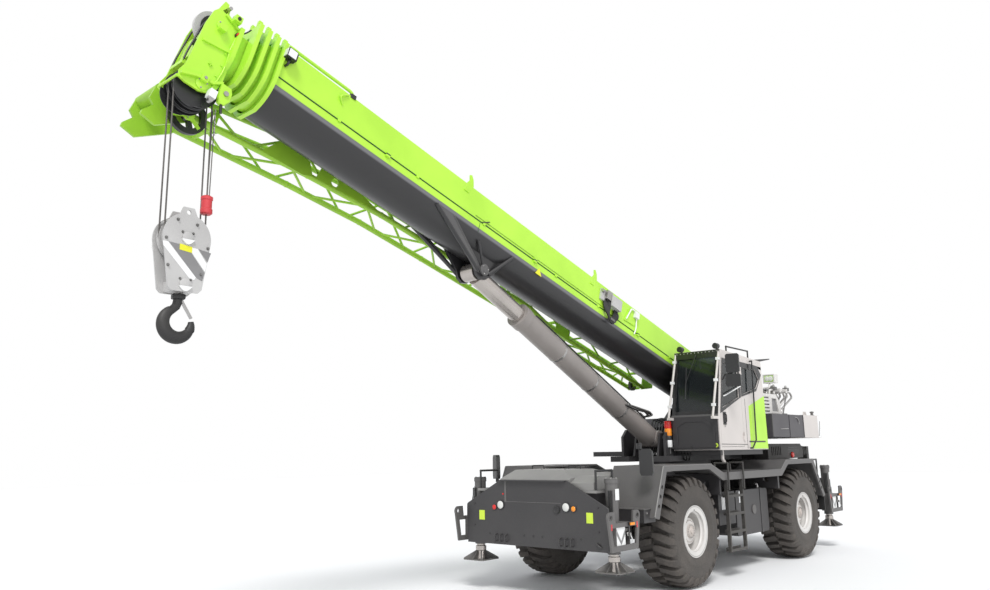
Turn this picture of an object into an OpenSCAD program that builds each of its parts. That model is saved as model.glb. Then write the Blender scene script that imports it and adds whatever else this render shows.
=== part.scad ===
// Two-axle rough-terrain mobile crane with a five-section telescopic boom.
// Millimetres. Front of the machine towards -Y, its left (cab) side towards +X, ground at z = 0.
// Every place along the machine is counted from the front axle and moved by front_axle_y at the end.

/* [Carrier] */
// Distance between the two axles
wheelbase = 4600; // [4550:10:4650]
// Place of the front axle along the machine, from the middle of its whole length
front_axle_y = 605; // [560:5:650]
// Diameter over the tyre lugs
tyre_d = 1750; // [1740:2:1760]
// Width of one tyre
tyre_w = 685; // [660:5:690]
// Middle of a tyre from the centre line
wheel_x = 1280; // [1270:5:1290]
// Kingpin from the centre line
kingpin_x = 1000; // [990:5:1010]
// Top of the mudguards
deck_z = 1930; // [1920:5:1940]

/* [Outriggers] */
// Front outriggers, from the front axle
front_outrigger_y = -1950; // [-1970:10:-1930]
// Rear outriggers, behind the rear axle
rear_outrigger_overhang = 2150; // [2100:10:2200]
// Vertical jack from the centre line
jack_x = 1310; // [1300:5:1320]
// Underside of the stowed foot
foot_z = 450; // [430:10:470]

/* [Superstructure] */
// Slewing axis, from the front axle
slew_y = 2300; // [2280:10:2320]
// Outer side of the cab from the centre line
cab_out_x = 1450; // [1440:5:1460]
// Underside of the cab
cab_z0 = 2150; // [2140:5:2160]
// Cab roof at the front
cab_z1 = 3980; // [3960:5:4000]

/* [Boom] */
// Boom angle in the stowed-up position of the photograph
boom_angle = 16.6; // [16:0.1:17]
// Boom pivot, from the front axle
pivot_y = 3700; // [3690:5:3710]
// Boom pivot above the ground
pivot_z = 3150; // [3140:5:3160]
// Pivot to the front collar of the base section
base_len = 11500; // [11400:50:11600]
// Width of the base section
boom_w = 760; // [750:5:770]
// Distance between two collars
collar_step = 120; // [115:5:125]

/* [Hidden] */

lime = [0.56, 0.86, 0.12];
charcoal = [0.16, 0.16, 0.17];
frame_grey = [0.36, 0.36, 0.37];
warm_grey = [0.72, 0.68, 0.65];
tyre_black = [0.20, 0.18, 0.17];
off_white = [0.85, 0.84, 0.82];
glass_tint = [0.30, 0.36, 0.38];

wheel_z = tyre_d / 2;
rear_outrigger_y = wheelbase + rear_outrigger_overhang;

// Helpers shared by the sub-parts
module place() translate([0, front_axle_y, 0]) children();

// A flat outline in X and Z, given its depth along Y from y0 to y1
module along_y(y0, y1) translate([0, y1, 0]) rotate([90, 0, 0]) linear_extrude(height = y1 - y0) children();

// A flat outline in Y and Z, given its depth along X from x0 to x1
module along_x(x0, x1) translate([x0, 0, 0]) rotate([90, 0, 90]) linear_extrude(height = x1 - x0) children();

// A flat outline in X and Y, given its depth along Z from z0 to z1
module along_z(z0, z1) translate([0, 0, z0]) linear_extrude(height = z1 - z0) children();

module box(x0, x1, y0, y1, z0, z1) translate([x0, y0, z0]) cube([x1 - x0, y1 - y0, z1 - z0]);

// A round rod between two points
module rod(a, b, d, sides = 24) {
    v = b - a;
    len = norm(v);
    translate(a) rotate([0, acos(v[2] / len), atan2(v[1], v[0])]) cylinder(d = d, h = len, $fn = sides);
}

// A bent tube through a list of points, with a ball at each bend
module tube(points, d, sides = 24) {
    for (i = [0 : len(points) - 2]) rod(points[i], points[i + 1], d, sides);
    for (i = [1 : len(points) - 2]) translate(points[i]) sphere(d = 1.12 * d, $fn = sides);
}

module both_sides() {
    children();
    mirror([1, 0, 0]) children();
}

// Carrier

rail_w = 500;

module chassis_side() polygon([
    [-2150, 1000], [-1500, 1000], [-900, 1200], [900, 1200], [1200, 860], [3400, 860], [3700, 1200],
    [5500, 1200], [6000, 860], [6985, 860], [6985, 1240], [6200, 1640], [3900, 1640], [3400, 1760],
    [900, 1760], [300, 1600], [-1600, 1560], [-2150, 1560]]);

// Half of the free width between the two frame rails
bay = 340;
box_half = 205;
slot_shift = 100;
arm_y = 60;

module outrigger_box(y) box(-1160, 1160, y - box_half, y + box_half, 830, 1230);

module beam_slots(y) for (side = [-1, 1])
    box(-1200, 1200, y + side * slot_shift - 92, y + side * slot_shift + 92, 865, 1195);

module chassis() color(frame_grey) place() difference() {
    union() {
        both_sides() along_x(bay, rail_w) chassis_side();
        for (y = [front_outrigger_y, rear_outrigger_y]) outrigger_box(y);
        // Cross members, the deck under the slewing ring and the tail plate
        for (y = [-1500, 1000, 3560, 4050, 5150, 5900]) box(-bay, bay, y, y + 100, 1145, 1245);
        box(-bay, bay, 900, 3400, 1700, 1760);
        box(-bay, bay, 1300, 3300, 860, 900);
        box(-1150, 1150, rear_outrigger_y + box_half, rear_outrigger_y + box_half + 30, 830, 1480);
        box(-bay, bay, -2150, -1745, 1230, 1560);
        // Outriggers of the mudguards and the side decks
        both_sides() {
            for (y = [1000, 3480]) box(rail_w, 1560, y, y + arm_y, 1400, 1739);
            box(rail_w - 40, rail_w, -arm_y, arm_y, 1560, 1900);
        }
    }
    for (y = [front_outrigger_y, rear_outrigger_y]) beam_slots(y);
    for (y = [1500 : 600 : 3300])
        translate([0, y, 1250]) rotate([0, 90, 0]) cylinder(d = 260, h = 2000, center = true);
    for (y = [1000, 3480], side = [-1, 1]) translate([side * 1320, y - 1, 1570])
        rotate([-90, 0, 0]) cylinder(d = 110, h = 100, $fn = 32);
}

module front_panel() color(charcoal) place() {
    along_y(-2185, -2155)
        polygon([[-1400, 780], [1400, 780], [1390, 1350], [660, 1730], [-660, 1730], [-1390, 1350]]);
    // Turned-in lower lip, top flange and the two rows of step loops
    box(-1380, 1380, -2184, -2156, 740, 781);
    box(-650, 650, -2240, -2156, 1722, 1740);
    for (side = [-1, 1], i = [-1, 0, 1]) {
        x = side * 640 + i * 105;
        tube([[x, -2186, 900], [x, -2236, 880], [x, -2236, 800], [x, -2186, 790]], 22);
    }
}

module deck_cover() color(warm_grey) place() {
    box(-1180, 1180, -2150, -1610, 1560, 1600);
    // Faceted cover over the front of the frame
    intersection() {
        along_x(-690, 690)
            polygon([[-2150, 1599], [-2150, 1745], [-1900, 1890], [-1150, 1890], [-500, 1760], [-500, 1599]]);
        along_y(-2200, -400)
            polygon([[-690, 1590], [-690, 1760], [-560, 1900], [420, 1900], [690, 1770], [690, 1590]]);
    }
    // Box cover on the left, behind the panel
    along_x(700, 1125) polygon([[-2140, 1599], [-2140, 1700], [-1960, 1800], [-1640, 1800], [-1640, 1599]]);
}

guard_in = 705;
guard_out = 1620;
guard_t = 30;
rear_top = deck_z + 10;

// Outer edge of the front mudguard, side deck and rear mudguard
guard_line = [[-1280, 1170], [-940, deck_z], [620, deck_z], [1060, 1770], [3540, 1770], [3810, rear_top],
    [5260, rear_top], [5780, 1170]];

guard_low = deck_z - guard_t;
rear_low = rear_top - guard_t;

module guard_skin() polygon(concat(guard_line, [[5748, 1155], [5245, rear_low],
    [3825, rear_low], [3552, 1740],
    [1050, 1740], [610, guard_low], [-922, guard_low], [-1250, 1155]]));

module guard_skirt() polygon(concat(guard_line, [[5680, 1140], [5180, rear_top - 90],
    [3900, rear_top - 90], [3560, 1640], [1040, 1640],
    [560, deck_z - 90], [-860, deck_z - 90], [-1150, 1140]]));

module mudguards() color(frame_grey) place() both_sides() {
    along_x(guard_in, guard_out) guard_skin();
    difference() {
        along_x(guard_out - 40, guard_out) guard_skirt();
        // Lightening holes in the front edge and in the rear edge
        for (p = [[-1145, 1330], [-1085, 1470], [-1025, 1610], [5600, 1330], [5525, 1460], [5450, 1590]])
            translate([0, p[0], p[1]]) rotate([0, 90, 0]) cylinder(d = 62, h = 4000, $fn = 24);
    }
    box(guard_in, guard_in + 30, 1065, 3475, 1640, 1741);
    // Arms that carry the mudguards from the frame and from the hood
    box(rail_w, guard_in + 1, -arm_y, arm_y, 1870, deck_z - guard_t + 1);
    box(rail_w, guard_in + 1, wheelbase - arm_y, wheelbase + arm_y, 1870, rear_top - guard_t + 1);
}

ladder_y0 = 1170;
ladder_y1 = 1810;

module ladder() color(charcoal) place() {
    for (y = [ladder_y0, ladder_y1 - 40])
        box(1560, 1620, y, y + 40, 430, 1640);
    for (z = [440 : 300 : 1400]) {
        box(1500, 1620, ladder_y0 + 40, ladder_y1 - 40, z, z + 12);
        box(1500, 1512, ladder_y0 + 40, ladder_y1 - 40, z, z + 60);
        box(1608, 1620, ladder_y0 + 40, ladder_y1 - 40, z, z + 45);
    }
    for (y = [ladder_y0 + 20, ladder_y1 - 20]) {
        tube([[1610, y, 1480], [1645, y, 1480], [1645, y, 1925], [1400, y, 1925], [1400, y, 1770]], 32);
    }
}

module side_tank() color([0.45, 0.46, 0.47]) place() {
    along_x(rail_w, 1380) polygon([[1960, 660], [2000, 620], [3300, 620], [3340, 660],
        [3340, 1380], [3300, 1420], [2000, 1420], [1960, 1380]]);
    box(rail_w, 1400, 1240, 1880, 860, 1420);
    for (y = [2250, 3000]) box(rail_w, 1390, y, y + 60, 612, 1430);
    // Right side
    mirror([1, 0, 0]) {
        along_x(rail_w, 1380)
            polygon([[1240, 700], [1300, 640], [3280, 640], [3340, 700], [3340, 1420], [1240, 1420]]);
        for (y = [1700, 2700]) box(rail_w, 1390, y, y + 60, 632, 1430);
    }
}

// The hood keeps a low middle, so that the superstructure's front passes over it
module engine_hood() color(charcoal) place() {
    along_x(-260, 260)
        polygon([[4430, 1645], [4430, 1840], [6300, 2060], [6450, 1980], [6450, 1560], [6200, 1645]]);
    both_sides() {
        box(250, rail_w, 4430, 6190, 1640.2, 1960);
        along_x(260, 820)
            polygon([[4430, 1950], [4430, 2180], [4560, 2260], [5950, 2260], [6080, 2180], [6190, 1950]]);
        along_x(815, 1100) polygon([[4210, rear_top], [4210, 2180], [4330, 2260], [5950, 2260], [6080, 2180],
            [6080, 1960], [5240, rear_top]]);
        for (i = [0 : 5]) box(1098, 1112, 4400 + i * 90, 4440 + i * 90, 2020, 2200);
        // Ribbed air duct
        translate([950, 6000, 2090]) rotate([-90, 0, 0]) {
            cylinder(r = 95, h = 430, $fn = 40);
            for (i = [0 : 4]) translate([0, 0, 100 + i * 72]) cylinder(r = 118, h = 34, $fn = 40);
        }
        box(840, 1060, 6420, 6540, 1700, 2200);
        box(rail_w - 60, 1060, 6190, 6540, 1640, 1700);
        box(rail_w - 60, rail_w, 6100, 6200, 1640.2, 1700);
    }
}

module engine_block() color([0.4, 0.4, 0.4]) place() {
    box(-330, 330, 4000, 5300, 1245, 1600);
}

module axle(y) translate([0, y, wheel_z]) {
    rotate([0, 90, 0]) cylinder(r = 130, h = 1660, center = true, $fn = 48);
    rotate([0, 90, 0]) cylinder(r = 185, h = 1000, center = true, $fn = 48);
    rotate([90, 0, 0]) cylinder(r = 270, h = 420, center = true, $fn = 48);
    rotate([90, 0, 0]) cylinder(r = 160, h = 640, center = true, $fn = 48);
    both_sides() difference() {
        union() {
            box(780, 840, -125, 125, -205, 205);
            for (z = [-205, 150]) {
                box(780, kingpin_x, -100, 100, z, z + 55);
                translate([kingpin_x, 0, z]) cylinder(r = 100, h = 55, $fn = 40);
            }
        }
        translate([kingpin_x, 0, 0]) cylinder(r = 45.5, h = 500, center = true, $fn = 40);
    }
}

module axles() color(charcoal) place() {
    for (y = [0, wheelbase]) {
        axle(y);
        for (side = [-1, 1])
            box(side * 420 - 60, side * 420 + 60, y - 120, y + 120, 990, 1199.5);
    }
}

module slew_ring() color([0.5, 0.5, 0.5]) place() translate([0, slew_y, 0]) {
    difference() {
        translate([0, 0, 1760]) cylinder(r = 700, h = 140, $fn = 96);
        translate([0, 0, 1700]) cylinder(r = 560, h = 300, $fn = 96);
    }
}

module mirror_glass(x, y, z, turn) translate([x, y, z]) rotate([0, 0, turn]) along_y(-35, 35)
    polygon([[-85, 0], [85, 0], [105, 50], [95, 360], [60, 400], [-60, 400], [-95, 360], [-105, 50]]);

module rails_and_mirrors() color(charcoal) place() {
    tube([[1350, -860, deck_z], [1350, -860, 2060], [1535, -1300, 2060], [1535, -1300, 1990]], 34);
    mirror_glass(1535, -1300, 1790, 15);
    tube([[-1150, -1620, 1600], [-1150, -1620, 1660], [-1250, -1600, 1690], [-1250, -1600, 1800]], 34);
    mirror_glass(-1250, -1600, 1730, -30);
    for (side = [-1, 1]) {
        tube([[side * 1150, -2110, 1600], [side * 1150, -2110, 1880], [side * 1150, -1680, 1880],
            [side * 1150, -1680, 1600]], 34);
        tube([[side * 1080, 6600, 1230], [side * 1080, 6600, 1900], [side * 1080, 6900, 1900],
            [side * 1080, 6900, 1230]], 34);
    }
    // Aerial post and beacon on the left front
    rod([1160, -880, deck_z], [1160, -880, 2200], 26);
    translate([1160, -880, 2190]) cylinder(r = 45, h = 90, $fn = 32);
}

module lamp(x, z, r) translate([x, -2185, z]) rotate([90, 0, 0]) cylinder(r = r, h = 40, $fn = 32);

module carrier_lamps() color([0.9, 0.9, 0.85]) place() {
    for (side = [-1, 1]) {
        lamp(side * 660, 1350, 75);
        lamp(side * 790, 1330, 52);
        // Amber lamp in each end of the rear plate, round tail lamps
        for (x = [820, 960]) translate([side * x, rear_outrigger_y + box_half + 30, 1330])
            rotate([-90, 0, 0]) cylinder(r = 60, h = 30, $fn = 32);
    }
    lamp(450, 1300, 80);
}

// Wheels, knuckles

module on_wheel(side, y) translate([side * wheel_x, y, wheel_z]) rotate([0, side * 90, 0]) children();

module knuckle(side, y) color(charcoal) place() translate([side * kingpin_x, y, wheel_z]) {
    cylinder(r = 45, h = 420, center = true, $fn = 40);
    cylinder(r = 125, h = 290, center = true, $fn = 48);
    rotate([0, side * 90, 0]) {
        cylinder(r = 110, h = 200, $fn = 48);
        translate([0, 0, 140]) cylinder(r = 210, h = 60, $fn = 48);
        translate([0, 0, 199]) cylinder(r = 150, h = 141, $fn = 48);
    }
}

// Tyre carcass with two rows of deep shoulder lugs, half a pitch apart
sidewall = [[345, 284], [406, 284], [410, 318], [520, 338], [640, 341], [740, 328], [785, 306], [822, 240]];
lug_count = 28;
lug_root = 778;

function lug_point(i, k) = let (a = 360 / lug_count * (i + [0, 0.14, 0.48, 0.62][k]),
    r = k == 0 || k == 3 ? lug_root : tyre_d / 2) [r * cos(a), r * sin(a)];

module lug_ring(turn) rotate([0, 0, turn]) linear_extrude(height = 255)
    polygon([for (i = [0 : lug_count - 1], k = [0 : 3]) lug_point(i, k)]);

module tyre(side, y) color(tyre_black) place() on_wheel(side, y) {
    rotate_extrude($fn = 72) polygon(concat(sidewall,
        [for (i = [len(sidewall) - 1 : -1 : 0]) [sidewall[i][0], -sidewall[i][1]]]));
    difference() {
        union() {
            translate([0, 0, 40]) lug_ring(0);
            translate([0, 0, -295]) lug_ring(180 / lug_count);
        }
        cylinder(r = 600, h = 800, center = true, $fn = 72);
    }
}

module rim(side, y) color(off_white) place() on_wheel(side, y) {
    rotate_extrude($fn = 72)
        polygon([[150.5, -20], [300, -20], [320, -120], [318, -300], [405, -315], [405, -285],
        [344.5, -284], [344.5, 284], [405, 285], [405, 315], [318, 300], [316, 40], [300, 20], [150.5, 20]]);
    rotate_extrude($fn = 72) polygon([[0, 61], [150.5, 61], [150.5, 20], [260, 20], [260, 60], [215, 75],
        [205, 190], [120, 215], [0, 215]]);
}

// Outriggers: a beam with its end frame and jack tube, then the jack leg with its foot

end_x = 1480;

ear_y = 350;
ear_z = 1235;

module end_plate() difference() {
    union() {
        polygon([[-420, 1210], [-350, 1310], [-250, 1310], [-230, 1150], [230, 1150], [250, 1310],
            [350, 1310], [420, 1210], [345, 760], [-345, 760]]);
        for (side = [-1, 1]) translate([side * ear_y, ear_z]) circle(r = 76, $fn = 40);
    }
    polygon([[-330, 1090], [330, 1090], [290, 840], [-290, 840]]);
    for (side = [-1, 1]) translate([side * ear_y, ear_z]) circle(r = 32, $fn = 32);
}

module beam(side, y, beam_shift) color(frame_grey) place() mirror([side < 0 ? 1 : 0, 0, 0]) {
    box(-1150, jack_x - 90, y + beam_shift - 85, y + beam_shift + 85, 880, 1180);
    difference() {
        union() {
            box(jack_x - 110, jack_x - 70, y - 200, y + 200, 860, 1200);
            translate([jack_x, y, 700]) cylinder(r = 95, h = 1060, $fn = 48);
            translate([jack_x, y, 1700]) cylinder(r = 104, h = 60, $fn = 48);
            box(jack_x - 80, end_x, y - 180, y + 180, 1110, 1150);
            box(jack_x - 80, end_x, y - 180, y + 180, 780, 820);
            for (w = [-180, 160]) box(jack_x - 80, end_x, y + w, y + w + 20, 800, 1130);
            translate([0, y, 0]) along_x(end_x, end_x + 30) end_plate();
            // Chevron board and the amber lamp above it
            box(end_x - 10, end_x + 8, y - 190, y + 40, 835, 1092);
            box(end_x, end_x + 40, y + 90, y + 220, 1100, 1145);
        }
        translate([jack_x, y, 650]) cylinder(r = 70.5, h = 1080, $fn = 48);
    }
}

foot_w = 450;

module jack(side, y) color(off_white) place() translate([side * jack_x, y, 0]) {
    translate([0, 0, foot_z + 120]) cylinder(r = 70, h = 1100, $fn = 48);
    translate([0, 0, foot_z + 90]) cylinder(r = 90, h = 80, $fn = 48);
    hull() {
        translate([-foot_w / 2, -foot_w / 2, foot_z]) cube([foot_w, foot_w, 22]);
        translate([-75, -75, foot_z + 125]) cube([150, 150, 20]);
    }
    both_sides() box(foot_w / 2 - 20, foot_w / 2 + 55, -40, 40, foot_z, foot_z + 30);
}

// Superstructure

cheek_in = 430;
cheek_out = 480;
lift_foot_y = 1450;
lift_foot_z = 2380;
lug_in = 235;
well_w = 230;
lift_eye_y = -7380;
lift_eye_z = -430;

module cheek() {
    polygon([[1150, 2060], [1150, 2420], [1300, 2560], [1600, 2560], [2600, 2640], [3350, 3240], [3560, 3340],
        [3840, 3340], [4000, 3200], [4250, 2860], [4300, 2060]]);
}

module turntable() color(charcoal) place() {
    translate([0, slew_y, 1900]) cylinder(r = 690, h = 61, $fn = 96);
    // Floor with an open well in front of the foot of the lift cylinder
    along_z(1960, 2060)
        polygon([[-640, 1000], [-well_w, 1000], [-well_w, 1650], [well_w, 1650], [well_w, 1000],
        [640, 1000], [640, 3400], [480, 3400], [480, 4300], [-480, 4300], [-480, 3400], [-640, 3400]]);
    both_sides() {
        along_x(cheek_in, cheek_out) cheek();
        along_x(lug_in, lug_in + 40) polygon([[lift_foot_y - 230, 2059], [lift_foot_y - 120, 2480],
            [lift_foot_y + 120, 2480], [lift_foot_y + 300, 2059]]);
        // Short pin of the lift cylinder's foot
        translate([205, lift_foot_y, lift_foot_z]) rotate([0, 90, 0]) cylinder(r = 60, h = 95, $fn = 40);
        box(cheek_out - 1, 1380, 1500, 3300, 2059, cab_z0);
        box(lug_in + 40, cheek_in + 1, 1700, 1740, 2059, 2400);
    }
    box(-cheek_in - 1, cheek_in + 1, 4200, 4300, 2059, 2600);
    box(-cheek_in - 1, cheek_in + 1, 2900, 2940, 2059, 2500);
    translate([0, pivot_y, pivot_z]) rotate([0, 90, 0]) cylinder(r = 70, h = 1040, center = true, $fn = 48);
    for (x = [-520, 495]) translate([x, pivot_y, pivot_z])
        rotate([0, 90, 0]) cylinder(r = 120, h = 25, $fn = 48);
}

cw_z0 = 2380;
cw_z1 = 2860;

module counterweight() color(warm_grey) place() {
    along_z(cw_z0, cw_z1)
        polygon([[-1500, 5250], [-1500, 6200], [-1280, 6560], [1280, 6560], [1500, 6200], [1500, 5250]]);
    both_sides() {
        box(620, 1490, 3600, 5251, cw_z0 + 10, cw_z1 - 10);
        box(1480, 1498, 4480, 4510, cw_z0 + 10, cw_z1 - 10);
        // Lifting lugs
        difference() {
            along_x(1130, 1160)
                polygon([[6180, cw_z1 - 1], [6220, cw_z1 + 110], [6320, cw_z1 + 110], [6360, cw_z1 - 1]]);
            translate([1100, 6270, cw_z1 + 60]) rotate([0, 90, 0]) cylinder(r = 28, h = 100, $fn = 32);
        }
    }
    box(-621, 621, 4300, 5251, cw_z0, 2500);
}

module winch() color([0.6, 0.6, 0.6]) place() {
    both_sides() along_x(360, 400)
        polygon([[4420, 2500], [5120, 2500], [5120, 3000], [4900, 3250], [4640, 3250], [4420, 3000]]);
    translate([0, 4770, 2960]) rotate([0, 90, 0]) {
        cylinder(r = 210, h = 722, center = true, $fn = 48);
        for (z = [-350, 330]) translate([0, 0, z]) cylinder(r = 290, h = 20, $fn = 48);
        // Rope on the drum, turn beside turn
        for (i = [0 : 12]) translate([0, 0, -300 + i * 50])
            rotate_extrude($fn = 48) translate([215, 0]) circle(r = 22, $fn = 8);
        cylinder(r = 120, h = 860, center = true, $fn = 40);
    }
}

module power_unit() color(off_white) place() {
    difference() {
        along_x(640, 1230)
            polygon([[3600, cw_z1 - 10], [4800, cw_z1 - 10], [4720, 3120], [4540, 3280], [3600, 3280]]);
        for (i = [0 : 4]) box(1200, 1240, 3720, 4180, 2905 + i * 70, 2940 + i * 70);
        along_x(1205, 1240) polygon([[4290, 2920], [4620, 2920], [4520, 3190], [4290, 3190]]);
    }
    // Floodlight on a bent post behind the louvres
    tube([[900, 4600, 3200], [900, 4640, 3440], [900, 5000, 3470], [900, 5080, 3600]], 40);
    difference() {
        box(770, 1030, 5010, 5210, 3570, 3760);
        box(790, 1010, 5000, 5030, 3590, 3740);
    }
}

// Cab: its side outline runs from the raked windscreen to the rear wall
cab_in_x = 520;
wall = 50;

module cab_side(inset) polygon([
    [1370 + inset, cab_z0 + inset], [1370 + inset, 2770], [1600 + inset, cab_z1 - inset],
    [3360 - inset, cab_z1 - 110 - inset], [3420 - inset, cab_z0 + inset]]);

door_hinge_y = 2360;

module door_side(grow) polygon([
    [1440 - grow, cab_z0 + 60 - grow], [1440 - grow, 2770], [1630 - grow, 3820 + grow],
    [door_hinge_y + grow, 3780 + grow], [door_hinge_y + grow, cab_z0 + 60 - grow]]);

module door_window() polygon([[1540, 2900], [1690, 3740], [2270, 3710], [2270, 3120]]);

hinge_x = cab_out_x + 18;
hinge_y = door_hinge_y + 6;
hinge_z = [2320, 3540];

module shell_opening_side() polygon([[2440, 3180], [2440, 3700], [3080, 3680], [3230, 3500], [3080, 3330]]);

module shell_opening_right() polygon([[1560, 2850], [1720, 3800], [3200, 3720], [3200, 2850]]);

module cab_shell() color(warm_grey) place() {
    difference() {
        along_x(cab_in_x, cab_out_x) cab_side(0);
        along_x(cab_in_x + wall, cab_out_x - wall) cab_side(wall);
        // Door opening
        along_x(cab_out_x - wall - 10, cab_out_x + 10) door_side(6);
        // Windscreen, rear window, right window, roof window, side window behind the door
        box(cab_in_x + 70, cab_out_x - 70, 1300, 1700, 2800, 3860);
        box(cab_in_x + 100, cab_out_x - 100, 3300, 3500, 2950, 3700);
        along_x(cab_in_x - 10, cab_in_x + wall + 10) shell_opening_right();
        box(cab_in_x + 120, cab_out_x - 120, 1800, 2900, 3700, 4100);
        along_x(cab_out_x - wall - 10, cab_out_x + 10) shell_opening_side();
    }
    // Guard tubes that lean out in front of both windscreen posts, their feet, and the fixed hinge halves
    for (x = [cab_in_x + 24, cab_out_x - 24]) {
        rod([x, 1195, 2740], [x, 1600, 3940], 42);
        box(x - 24, x + 24, 1170, 1378, 2700, 2750);
    }
    for (z = hinge_z) {
        translate([hinge_x, hinge_y, z + 92]) cylinder(r = 16, h = 60, $fn = 32);
        box(cab_out_x - 1, hinge_x, hinge_y + 2, hinge_y + 36, z + 92, z + 152);
    }
    // Stepped lower front and the rear corner strip
    along_x(cab_in_x + 30, cab_out_x - 30) polygon([[1371, 2200], [1351, 2220], [1351, 2560], [1371, 2580]]);
}

module cab_glass() color(glass_tint) place() {
    // Windscreen follows the rake of the front edge
    intersection() {
        box(cab_in_x + 70, cab_out_x - 70, 1300, 1700, 2800, 3860);
        along_x(cab_in_x, cab_out_x) polygon([[1390, 2770], [1620, 3980], [1640, 3980], [1410, 2770]]);
    }
    box(cab_in_x + 100, cab_out_x - 100, 3360, 3372, 2950, 3700);
    along_x(cab_in_x + 20, cab_in_x + 30) shell_opening_right();
    along_x(cab_out_x - 30, cab_out_x - 20) shell_opening_side();
}

module cab_door() color(warm_grey) place() {
    difference() {
        along_x(cab_out_x - wall, cab_out_x) door_side(0);
        along_x(cab_out_x - wall - 5, cab_out_x + 5) door_window();
    }
    for (z = hinge_z) {
        translate([hinge_x, hinge_y, z]) cylinder(r = 16, h = 88, $fn = 32);
        box(cab_out_x - 1, hinge_x, hinge_y - 40, hinge_y - 4, z, z + 88);
    }
    // Handle
    box(cab_out_x - 1, cab_out_x + 26, 1640, 1690, 2680, 2800);
}

module cab_mirrors() color(charcoal) place() {
    tube([[cab_out_x, 1595, 3420], [cab_out_x + 30, 1595, 3420], [cab_out_x + 70, 1595, 3500],
        [cab_out_x + 215, 1600, 3515]], 24);
    rod([cab_out_x + 215, 1600, 3450], [cab_out_x + 215, 1600, 3700], 30);
    // Tall upper glass and the wide one below it
    for (m = [[3530, 120, 340], [3275, 135, 225]]) let (z = m[0], w = m[1], h = m[2])
        translate([cab_out_x + 230, 1600, z]) rotate([0, 0, 12]) along_y(-32, 32)
            polygon([[-w, 25], [25 - w, 0], [w - 25, 0], [w, 25],
                [w, h - 25], [w - 25, h], [25 - w, h], [-w, h - 25]]);
}

module door_glass() color(glass_tint) place()
    along_x(cab_out_x - 30, cab_out_x - 20) door_window();

module cab_interior() color([0.12, 0.12, 0.13]) place() {
    box(780, 1240, 2330, 2780, cab_z0 + wall, 2421);
    along_x(740, 1280) polygon([[2250, 2420], [2230, 2520], [2290, 2570], [2850, 2550], [2850, 2420]]);
    along_x(750, 1270) polygon([[2780, 2549], [2860, 2549], [3010, 3230], [2960, 3300], [2900, 3250]]);
    for (x = [680, 1250]) box(x, x + 80, 2300, 2760, cab_z0 + wall, 2700);
    along_x(700, 1300)
        polygon([[1450, cab_z0 + wall], [1650, cab_z0 + wall], [1600, 2640], [1500, 2740], [1450, 2740]]);
}

roof_fall = 0.0625;

function roof_z(y) = cab_z1 - (y - 1600) * roof_fall;

module cab_roof_gear() color(charcoal) place() {
    for (x = [650, 1380]) {
        rod([x, 1640, roof_z(1625)], [x, 1640, 4010], 28);
        along_y(1560, 1650) translate([x, 4040]) circle(r = 55, $fn = 32);
    }
    // Visor plate that rises over the cab's rear edge
    along_x(560, 1420) polygon([[3240, roof_z(3240) + 0.05], [3359, roof_z(3359) + 0.05], [3900, 3955],
        [3900, 3975], [3240, roof_z(3240) + 30]]);
    tube([[cab_out_x - 40, 1950, roof_z(1933)], [cab_out_x - 40, 1950, 4060], [cab_out_x - 40, 2880, 4045],
        [cab_out_x - 40, 2880, roof_z(2863)]], 30);
    // Bent grab tube behind the door
    tube([[cab_out_x, 2840, 3840], [cab_out_x + 50, 2840, 3840], [cab_out_x + 50, 2780, 2330],
        [cab_out_x + 50, 2600, 2180], [cab_out_x, 2600, 2180]], 28);
}

// Lift cylinder: barrel and rod lie on the line between the foot and the eye on the boom
function boom_to_y(y, z) = pivot_y + y * cos(boom_angle) + z * sin(boom_angle);
function boom_to_z(y, z) = pivot_z - y * sin(boom_angle) + z * cos(boom_angle);
eye_y = boom_to_y(lift_eye_y, lift_eye_z);
eye_z = boom_to_z(lift_eye_y, lift_eye_z);
lift_angle = atan2(eye_z - lift_foot_z, lift_foot_y - eye_y);
lift_len = norm([eye_z - lift_foot_z, lift_foot_y - eye_y]);

module on_lift() place() translate([0, lift_foot_y, lift_foot_z]) rotate([-lift_angle, 0, 0]) children();

barrel_len = 4350;
rod_r = 140;

module lift_barrel() color(warm_grey) on_lift() difference() {
    union() {
        rotate([0, 90, 0]) cylinder(r = 150, h = 400, center = true, $fn = 48);
        translate([0, -100, 0]) rotate([90, 0, 0]) cylinder(r = 185, h = barrel_len - 250, $fn = 64);
        translate([0, 150 - barrel_len, 0]) rotate([90, 0, 0]) cylinder(r = 202, h = 150, $fn = 64);
        rod([0, -500, 197], [0, 200 - barrel_len, 197], 34);
    }
    rotate([0, 90, 0]) cylinder(r = 60.5, h = 500, center = true, $fn = 40);
    translate([0, -300, 0]) rotate([90, 0, 0]) cylinder(r = rod_r + 1, h = barrel_len, $fn = 64);
}

module lift_rod() color(off_white) on_lift() difference() {
    union() {
        translate([0, -980, 0]) rotate([90, 0, 0]) cylinder(r = rod_r, h = lift_len - 1080, $fn = 64);
        translate([0, -lift_len, 0]) rotate([0, 90, 0]) cylinder(r = 135, h = 240, center = true, $fn = 48);
    }
    translate([0, -lift_len, 0]) rotate([0, 90, 0]) cylinder(r = 60.5, h = 400, center = true, $fn = 40);
}

// Boom: each section is a box with a round belly, inset from the one around it
belly_z = 104;
boom_top = 584;
section_inset = 38;
wall_t = 12;

module on_boom() place() translate([0, pivot_y, pivot_z]) rotate([-boom_angle, 0, 0]) children();

module boom_outline(w, top) {
    translate([0, belly_z]) circle(d = w, $fn = 64);
    translate([-w / 2, belly_z]) square([w, top - belly_z]);
}

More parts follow.
